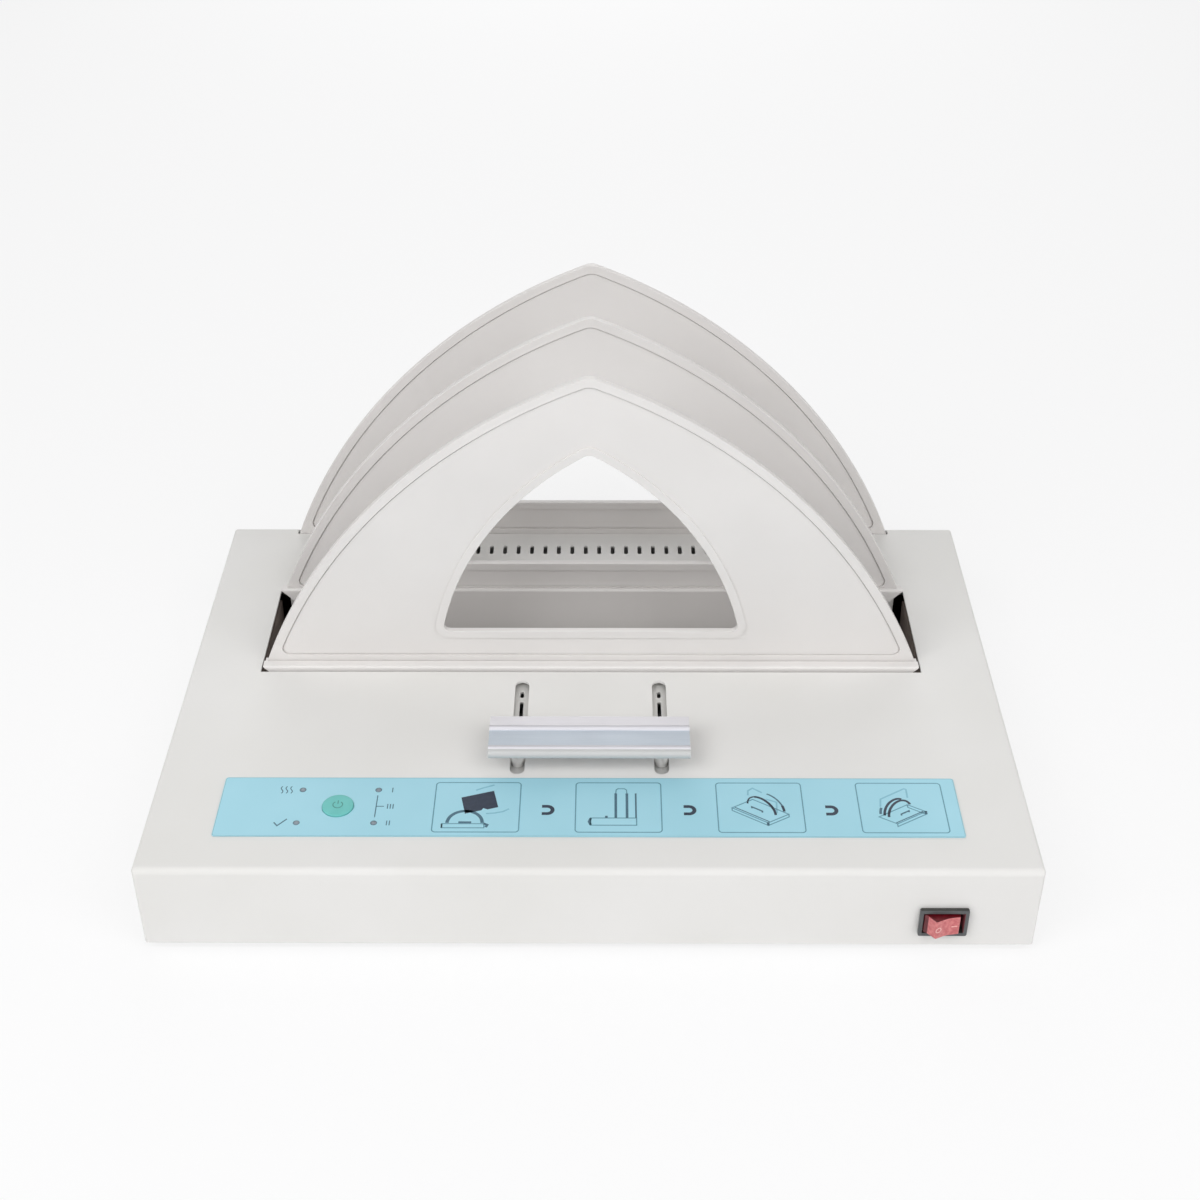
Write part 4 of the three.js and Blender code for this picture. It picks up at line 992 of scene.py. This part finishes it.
# %% Panels and arrows
panel_pitch = 61.9 * mm
panel_first = -48.9 * mm
panel_half = Vector((18.75, 16.05)) * mm
panel_corner = 1.6 * mm
panel_line = 0.5 * mm
panel_y = centre_of("control_overlay").y - 0.3 * mm  # a little in front of the film's middle
panels = [Vector((panel_first + i * panel_pitch, panel_y)) for i in range(4)]
film_edge = 0.3 * mm
edge_x = (film_low.x + film_edge, film_high.x - film_edge)
edge_y = (film_low.y + film_edge, film_high.y - film_edge)
# The edge ink is a darker band all round the film, which paints in the thin line of shade at the film's edge.
draw("edge", rounded(*edge_x, *edge_y, film_corner), film_edge, True)
for panel in panels:
    left, right = panel.x - panel_half.x, panel.x + panel_half.x
    low, high = panel.y - panel_half.y, panel.y + panel_half.y
    draw("line", rounded(left, right, low, high, panel_corner), panel_line, True)

arrow_radius = 2.35 * mm
arrow_width = 1.75 * mm
arrow_arm = 2.3 * mm
arrow_shift = Vector((panel_pitch / 2 - 0.2 * mm, -1.9 * mm))  # from a panel's middle
for panel in panels[:-1]:
    x, y = panel + arrow_shift
    upper, lower = (x - arrow_arm, y + arrow_radius), (x - arrow_arm, y - arrow_radius)
    draw("dark", [upper] + arc(x, y, arrow_radius, 90, -90) + [lower], arrow_width)
print("frames and arrows have", ink_faces(), "faces of ink")

# %% Front and side view pictograms
thin, medium, bold, heavy = 0.5 * mm, 0.75 * mm, 1.15 * mm, 1.5 * mm


def placed(panel, points):
    """Points in millimetres about a panel's middle, as places on the deck."""
    return [(panel.x + u * mm, panel.y + v * mm) for u, v in points]


def sketch(panel, ink, width, *points, closed=False):
    draw(ink, placed(panel, points), width, closed)


front_view = panels[0]
sketch(front_view, "line", thin, *rectangle(-14.6, 3.7, -13.4, -10.8), closed=True)
sketch(front_view, "mark", heavy, *arc(-4.8, -10.3, 7.6, 180, 0))
sketch(front_view, "mark", bold, (-7.5, -9.9), (-1.9, -9.9))
sketch(front_view, "mark", bold, (3.5, -10.6), (5.1, -11.5), (4.5, -13.0))
sketch(front_view, "mark", medium, (-14.6, -10.9), (-14.6, -13.4))
sheaf = [(-7.2, 6.1), (-5.0, -4.4), (2.0, -2.2), (2.8, -0.8), (4.7, -1.6), (9.3, -0.1), (6.9, 10.6)]
lay_ink("dark", [placed(front_view, sheaf)])
sketch(front_view, "pale", medium, (-1.0, 10.9), (1.8, 12.4), (6.9, 14.4))
sketch(front_view, "pale", medium, (4.2, -4.3), (8.0, -3.9), (11.5, -3.0), (14.1, -1.2))

side_view = panels[1]
sketch(side_view, "line", thin, *rectangle(-12.1, 7.8, -11.6, -7.0), closed=True)
sketch(side_view, "mark", bold, (-12.1, -7.2), (-12.8, -9.3), (-12.1, -11.4))
sketch(side_view, "mark", bold, (-5.3, -7.0), (-5.3, -5.6))
for x, width in ((-1.2, bold), (3.7, bold), (7.6, medium)):
    sketch(side_view, "mark", width, (x, -7.0), (x, 9.0))
pages = [(-1.2, 9.0), (-1.0, 11.3), (-0.2, 12.1), (2.7, 12.1), (3.5, 11.3), (3.7, 9.0)]
sketch(side_view, "line", thin, *pages)
print("with two views the print has", ink_faces(), "faces of ink")

# %% Oblique pictograms
hoop_height = 7.1
hoop_half = 0.39
handle_rise = 0.9
base_height = 1.7


def machine_view(panel, origin, long_way, deep_way, hoop_middle, handle, hoops):
    """A small machine seen from above at an angle: its base, its handle and its arches as half hoops."""

    def at(x, y, z):
        place = Vector(origin) + Vector(long_way) * x + Vector(deep_way) * y
        return (place.x, place.y + z)

    def line(ink, points, width, closed=False):
        draw(ink, placed(panel, [at(*point) for point in points]), width, closed)

    low = -base_height
    line("line", [(0, 0, 0), (1, 0, 0), (1, 1, 0), (0, 1, 0)], thin, True)
    line("line", [(0, 0, 0), (0, 0, low), (1, 0, low), (1, 1, low), (1, 1, 0)], thin)
    line("mark", [(0.02, 0.1, 0), (0.98, 0.1, 0)], thin)
    line("mark", [(1, 0, 0.3), (1, 0, low)], bold)
    left, right, y = handle
    line("mark", [(left, y, 0), (left, y, handle_rise), (right, y, handle_rise), (right, y, 0)], medium)
    for y, start, end, ink, width in hoops:
        turns = [math.radians(start + (end - start) * i / 24) for i in range(25)]
        hoop = [(hoop_middle + hoop_half * math.cos(a), y, hoop_height * math.sin(a)) for a in turns]
        line(ink, hoop, width)


binding = [(0.64, 0, 118, "dark", bold), (0.64, 118, 180, "dark", medium), (1.05, 0, 28, "dark", bold)]
binding.append((1.05, 28, 100, "mark", medium))
machine_view(panels[2], (-12.3, -0.3), (15.1, -9.6), (9.4, 5.5), 0.455, (0.29, 0.58, 0.46), binding)
sketch(panels[2], "pale", medium, (-4.9, 7.9), (-4.7, 10.9), (-2.6, 12.6), (1.4, 9.6))
sketch(panels[2], "pale", medium, (2.8, 5.4), (7.4, 3.4), (7.1, -3.6))

cooling = [(0.7, 18, 180, "dark", bold), (0.93, 50, 180, "dark", bold), (1.15, 150, 180, "mark", bold)]
machine_view(panels[3], (-3.2, -10.4), (13.3, 7.9), (-7.5, 4.4), 0.55, (0.43, 0.7, 0.44), cooling)
sketch(panels[3], "pale", medium, (-9.3, 0.6), (-8.7, 5.5), (2.4, 12.4), (3.3, 12.0), (3.3, 6.5))
print("with all four it has", ink_faces())

# %% [markdown]
# Beside the button the print marks the lamps. A row of waves stands for heating and a tick for done. The
# binding levels are counted in plain strokes: one lamp for the first level, the other for the second, and
# both together for the third, which the small bracket between them says.

# %% Lamp marks
heat_lamp, done_lamp, upper_lamp, lower_lamp = lamp_places
window_ring = 1.25 * mm
ring_line = 0.3 * mm
ring_gap = 0.1 * mm
tick_line = 0.6 * mm
mark_line = 0.45 * mm
for lamp in lamp_places:
    draw("mark", circle(lamp.x, lamp.y, window_ring + ring_gap), ring_line, True)

wave_first = -9.3 * mm  # from the heat lamp to the first wave
wave_pitch = 2.1 * mm
wave_swing = 0.5 * mm
wave_height = 4.6 * mm
for i in range(3):
    x = heat_lamp.x + wave_first + i * wave_pitch
    steps = [j / 16 for j in range(17)]
    swings = [x + wave_swing * math.sin(2 * math.pi * s) for s in steps]
    draw("mark", [(x, heat_lamp.y + (s - 0.5) * wave_height) for x, s in zip(swings, steps)], mark_line)
tick = [(-9.8, 0.2), (-8.1, -1.9), (-4.4, 2.4)]  # in millimetres about the done lamp
draw("mark", placed(done_lamp, tick), tick_line)

bracket_x = upper_lamp.x
bracket_gap = 3.6 * mm
bracket_arm = 3.4 * mm
draw("mark", [(bracket_x, upper_lamp.y - bracket_gap), (bracket_x, lower_lamp.y + bracket_gap)], mark_line)
draw("mark", [(bracket_x, button_middle.y), (bracket_x + bracket_arm, button_middle.y)], mark_line)
level_x = upper_lamp.x + 6.2 * mm  # the middle of the strokes
level_pitch = 1.2 * mm
level_stroke = 1.5 * mm  # half of a stroke's height
for strokes, y in ((1, upper_lamp.y), (2, lower_lamp.y), (3, button_middle.y)):
    for i in range(strokes):
        x = level_x + (i - (strokes - 1) / 2) * level_pitch
        draw("mark", [(x, y - level_stroke), (x, y + level_stroke)], mark_line)

for ink, shape in inks.items():
    fit(piece_of(shape, "label_ink_" + ink), "base", ink + "_ink")

# %% [markdown]
# The lamps sit under small clear windows in the film. A window is not flat ink but a slightly domed smoky
# lens, so a low turned dome stands for it, and its gloss tells it from the satin film around it.

# %% Lamp windows
new_finish("lamp_lens", 1.5, (108, 122, 133), (124, 138, 148), 0.2, Coat_Weight=0.3)
relief("lamp_lens", 0.6, 0.002)
window_rise = 0.12 * mm
for name, lamp in zip(lamp_names, lamp_places):
    profile = [(0, -ink_bite), (window_ring, -ink_bite), (window_ring, 0)]
    profile += [(0.8 * window_ring, 0.7 * window_rise), (0, window_rise)]
    window = piece_of(turned(profile, 32), name + "_window")
    window.data.transform(Matrix.Translation((lamp.x, lamp.y, film_high.z)))
    fit(eased(window, 0), "base", "lamp_lens", slot_name="lamp_lens")

# %% [markdown]
# The start button is a low moulded cap in blue-green. It bears a plain start mark, a ring with an upright
# line, pressed into the same plastic in a deeper tone.

# %% Start button
new_finish("button_plastic", 9, (101, 185, 180), (110, 193, 188), 0.5)
relief("button_plastic", 0.3, 0.003)
new_finish("button_ink", 1.5, (64, 134, 126), (76, 146, 138), 0.45)
button_top = button_high.z
flange_radius = 8.4 * mm
flange_top = button_low.z + 0.7 * mm
crown_foot = button_top - 0.45 * mm  # the cap's side ends here and its soft crown begins
cap_profile = [
    (0, button_low.z),
    (flange_radius, button_low.z),
    (flange_radius, flange_top),
    (button_radius, flange_top),
    (button_radius, crown_foot),
    (0.92 * button_radius, button_top - 0.12 * mm),
    (0.6 * button_radius, button_top),
    (0, button_top),
]
cap = piece_of(turned(cap_profile, 96), "start_button_cap")
cap.data.transform(Matrix.Translation((button_middle.x, button_middle.y, 0)))
stand_in(eased(cap, 0.12 * mm, 2), "button_cap")

mark_radius = 2.1 * mm
mark_stroke = 0.5 * mm
mark_bite = 0.2 * mm
mark_rise = 0.02 * mm
mark_shape = bmesh.new()
mark_arc = [(button_middle.x + u, button_middle.y + v) for u, v in arc(0, 0, mark_radius, 125, 415)]
mark_bar = placed(button_middle, [(0, 0.5), (0, 2.7)])
for points in (mark_arc, mark_bar):
    prism(ribbon(points, mark_stroke), button_top - mark_bite, button_top + mark_rise, into=mark_shape)
fit(piece_of(mark_shape, "start_button_mark"), "start_button", "button_ink")

# %% [markdown]
# The rocker is moulded from clear red plastic with a glossy face, and light goes a little way into it. Its
# two faces meet in a soft valley, the pressed end lies in the bezel and the other stands out. The faces that
# look inwards get no light and are a deep red, which could come from the shader's own transmission, but a
# second finish on those faces is steadier. A plain bar and a ring mark on and off, as on any such switch.
# The black housing has a fine spark-eroded grain. Its top faces are darker as painted shade, and its inner walls
# get a painted reflection of the red.

# %% Switch finishes
new_finish("black_plastic", 5, (75, 78, 79), (87, 90, 91), 0.5)
gloss("black_plastic", 1.2, 0.42, 0.56)
relief("black_plastic", 0.25, 0.004, detail=1.0)
# A darker tone for the bezel's top faces is painted shade, and a pinkish one for its inner walls is a painted
# reflection of the rocker.
new_finish("bezel_rim", 4, (42, 42, 41), (52, 52, 50), 0.6)
new_finish("bezel_inside", 3, (142, 84, 92), (158, 100, 106), 0.5)
new_finish("rocker_plastic", 1.6, (186, 80, 84), (210, 120, 120), 0.3, Coat_Weight=0.4)
relief("rocker_plastic", 0.8, 0.002)
new_finish("rocker_flank", 2, (74, 4, 12), (104, 10, 24), 0.35)
new_finish("rocker_mark", 1, (226, 168, 164), (238, 186, 182), 0.4)

# %% Bezel
pivot = Vector(frame["joints"][2]["pos_m"])
bezel = stand_in(softened("switch_housing", 0.35 * mm), "switch_housing")
# The top faces get a darker tone, as painted shade.
refinish(bezel, "bezel_rim", lambda face: face.normal.z > 0.6)
window = 9.5 * mm  # half the width of the bezel's window


def in_window(face):
    return abs(face.center.x - pivot.x) < window and abs(face.normal.x) > 0.9


# The inner walls of the window get a pinkish tone, as a painted reflection of the red rocker.
refinish(bezel, "bezel_inside", in_window)

# %% Rocker
rocker_tilt = math.radians(17)
rocker_slope = math.tan(math.radians(9.2))
rocker_radius = 7.4 * mm
rocker_tip = 4.8 * mm
rocker_half = 5.0 * mm
valley_round = 1.6 * mm
tip_x = 5.4 * mm
end_angle = 4  # degrees, from the pivot's plane to the foot of the flat end
body_radius = 8.6 * mm  # the round body behind the flat ends, which fills the window
body_angle = 6  # degrees, from the pivot's plane back to where the body begins


def face_depth(x):
    """How far the rocker's face stands in front of the pivot at a place along it."""
    curve = math.hypot(x, valley_round) - math.hypot(tip_x, valley_round)
    return rocker_tip + rocker_slope * curve


def rocker_outline():
    count = 24
    face = [-tip_x + 2 * tip_x * i / count for i in range(count + 1)]
    body = arc(0, 0, body_radius, body_angle, 180 - body_angle)
    foot_x = rocker_radius * math.cos(math.radians(end_angle))
    foot_y = -rocker_radius * math.sin(math.radians(end_angle))
    return [(foot_x, foot_y)] + body + [(-foot_x, foot_y)] + [(x, -face_depth(x)) for x in face]


rocker_place = Matrix.Translation(pivot) @ Matrix.Rotation(rocker_tilt, 4, "Z")
rocker = piece_of(prism([rocker_outline()], -rocker_half, rocker_half), "red_rocker")
eased(rocker, 0.35 * mm, 3)
faces = rocker.data.polygons
in_the_dark = [face.normal.y > -0.3 or abs(face.center.x) > rocker_radius for face in faces]
rocker.data.transform(rocker_place)
stand_in(rocker, "switch_rocker")
refinish(rocker, "rocker_flank", lambda face: in_the_dark[face.index])

# %% Signs on the rocker
sign_rise = 0.08 * mm
sign_bite = 0.06 * mm
on_x, off_x = 3.1 * mm, -4.4 * mm  # places of the two signs along the rocker


def rocker_sign(name, outlines, x):
    """A flat mark that lies on the rocker's face, turned with the slope of the face there."""
    sign = piece_of(prism(outlines, -sign_rise, sign_bite, "upright"), name)
    near = 0.1 * mm
    lean = -math.atan2(face_depth(x + near) - face_depth(x - near), 2 * near)
    on_face = Matrix.Translation((x, -face_depth(x), 0)) @ Matrix.Rotation(lean, 4, "Z")
    sign.data.transform(rocker_place @ on_face)
    return fit(sign, "power_rocker", "rocker_mark")


rocker_sign("rocker_mark_on", [rounded(-1.3 * mm, 1.3 * mm, -0.28 * mm, 0.28 * mm, 0.1 * mm)], on_x)
rocker_sign("rocker_mark_off", [circle(0, 0, 1.5 * mm), circle(0, 0, 1.0 * mm)], off_x)

# %% [markdown]
# Four round-headed screws hold the cover to the pan. The head is turned, and the cross recess is cut by two
# crossed bars, a little tapered in reality but square here at this size.

# %% Screws
head_radius = 2.9 * mm
head_height = 1.6 * mm
shank_radius = 1.5 * mm
shank_length = 5 * mm
recess_width = 0.8 * mm
recess_reach = 1.5 * mm
recess_depth = 0.9 * mm
seat_gap = 0.2 * mm  # from the cover's side to the head's seat
screw_spin = math.radians(23)  # so that no two recesses stand alike


def round_head_screw(name):
    """A screw along Z with its head's seat at zero."""
    rises = [i * math.pi / 16 for i in range(8)]
    profile = [(0, -shank_length), (shank_radius, -shank_length), (shank_radius, 0)]
    profile += [(head_radius * math.cos(a), head_height * math.sin(a)) for a in rises] + [(0, head_height)]
    screw = piece_of(turned(profile, 40), name)
    half = recess_width / 2
    for u, v in ((recess_reach, half), (half, recess_reach)):
        arm = prism([rectangle(-u, u, -v, v)], head_height - recess_depth, head_height + overrun)
        carved(screw, piece_of(arm, name + "_recess"))
    return eased(screw, 0.06 * mm, 2)


for i, place in enumerate(cover_screws, start=1):
    side = math.copysign(1.0, place.x)
    screw = round_head_screw("cross_screw_" + str(i))
    seat = Vector((side * (cover_high.x + seat_gap), place.y, place.z))
    spin = Matrix.Rotation(i * screw_spin, 4, "Z")
    screw.data.transform(Matrix.Translation(seat) @ Matrix.Rotation(side * math.pi / 2, 4, "Y") @ spin)
    stand_in(screw, "cover_screw_" + str(i))

# %% [markdown]
# The rubber feet are pushed into the pan. Rubber is dark, dull and a little dusty, so its tone varies more
# than that of the plastics, and its relief is coarse.

# %% Feet
new_finish("foot_rubber", 3, (38, 38, 41), (56, 56, 58), 0.85)
relief("foot_rubber", 0.4, 0.02)
for corner in ("front_left", "front_right", "rear_left", "rear_right"):
    stand_in(softened("foot_" + corner, 0.3 * mm), "foot_" + corner)

# %% [markdown]
# Inside the well the finishes are plainer. The end walls are a dark brownish grey sheet, whose tone is painted
# shade for the deep well, the hot plate is anodised dark grey, and the carriage plate and the brackets are
# zinc-plated. Their shapes are right in the frame already, so a copy of each is taken, and only its edges are
# rounded. The pan's upper faces are near black, as painted shade for what shows through the cooling slots.

# %% Well finishes
# The end walls' dark brownish grey paints in the shade of the deep well.
new_finish("dark_sheet", 12, (97, 86, 80), (112, 101, 94), 0.6, 0.1)
relief("dark_sheet", 0.4, 0.004)
brushed = {"stretch": (60, 1, 1)}
new_finish("hot_plate", 0.25, (138, 136, 133), (154, 152, 149), 0.42, 0.8, brushed)
gloss("hot_plate", 8, 0.36, 0.5)
# A near-black tone for the pan's upper faces, painted shade for the dark inside seen through the vents.
new_finish("pan_lining", 9, (20, 20, 21), (30, 30, 31), 0.8)
new_finish("nylon", 5, (226, 224, 217), (237, 235, 230), 0.5, Subsurface_Weight=0.1)

# %% Finishes of the inner pieces
patches = {"kind": "TexVoronoi"}
fibres = {"stretch": (6, 1, 1)}
strips = {"stretch": (12, 1, 1)}
turns_of_wire = {"stretch": (40, 40, 1)}
new_finish("circuit_board", 1.6, (36, 98, 61), (52, 118, 78), 0.4, 0.0, patches, Coat_Weight=0.3)
new_finish("mineral_board", 0.5, (203, 193, 172), (225, 217, 200), 0.9, 0.0, fibres)
relief("mineral_board", 0.6, 0.05)
new_finish("heater_film", 3, (118, 76, 40), (146, 100, 58), 0.35, 0.0, strips, Coat_Weight=0.4)
new_finish("copper_winding", 0.3, (160, 96, 52), (204, 136, 84), 0.35, 0.9, turns_of_wire)
relief("copper_winding", 0.3, 0.03, **turns_of_wire)
missing = sorted(set(slot_of.values()) - set(finishes))
print("finishes", len(finishes), "missing", missing)

# %% Eased copies of the sheet pieces
sheet_pieces = ["base_pan", "carriage_plate", "well_rear_wall", "well_end_wall_left", "well_end_wall_right"]
sheet_pieces += ["heating_plate", "heater_tray", "arch_bracket_left", "arch_bracket_right", "mains_inlet"]
for node in sheet_pieces:
    piece = stand_in(softened(node, 0.2 * mm), node)
    if node == "base_pan":
        # The pan's upper faces get the near-black painted shade.
        refinish(piece, "pan_lining", lambda face: face.normal.z > 0.5)

# %% Finish the nodes that stay
for node, cad_object in cad_nodes.items():
    if not cad_object.hide_render:
        for material_slot in cad_object.material_slots:
            material_slot.material = finishes[slot_of[node]]
        print(node, "keeps its shape in", slot_of[node])
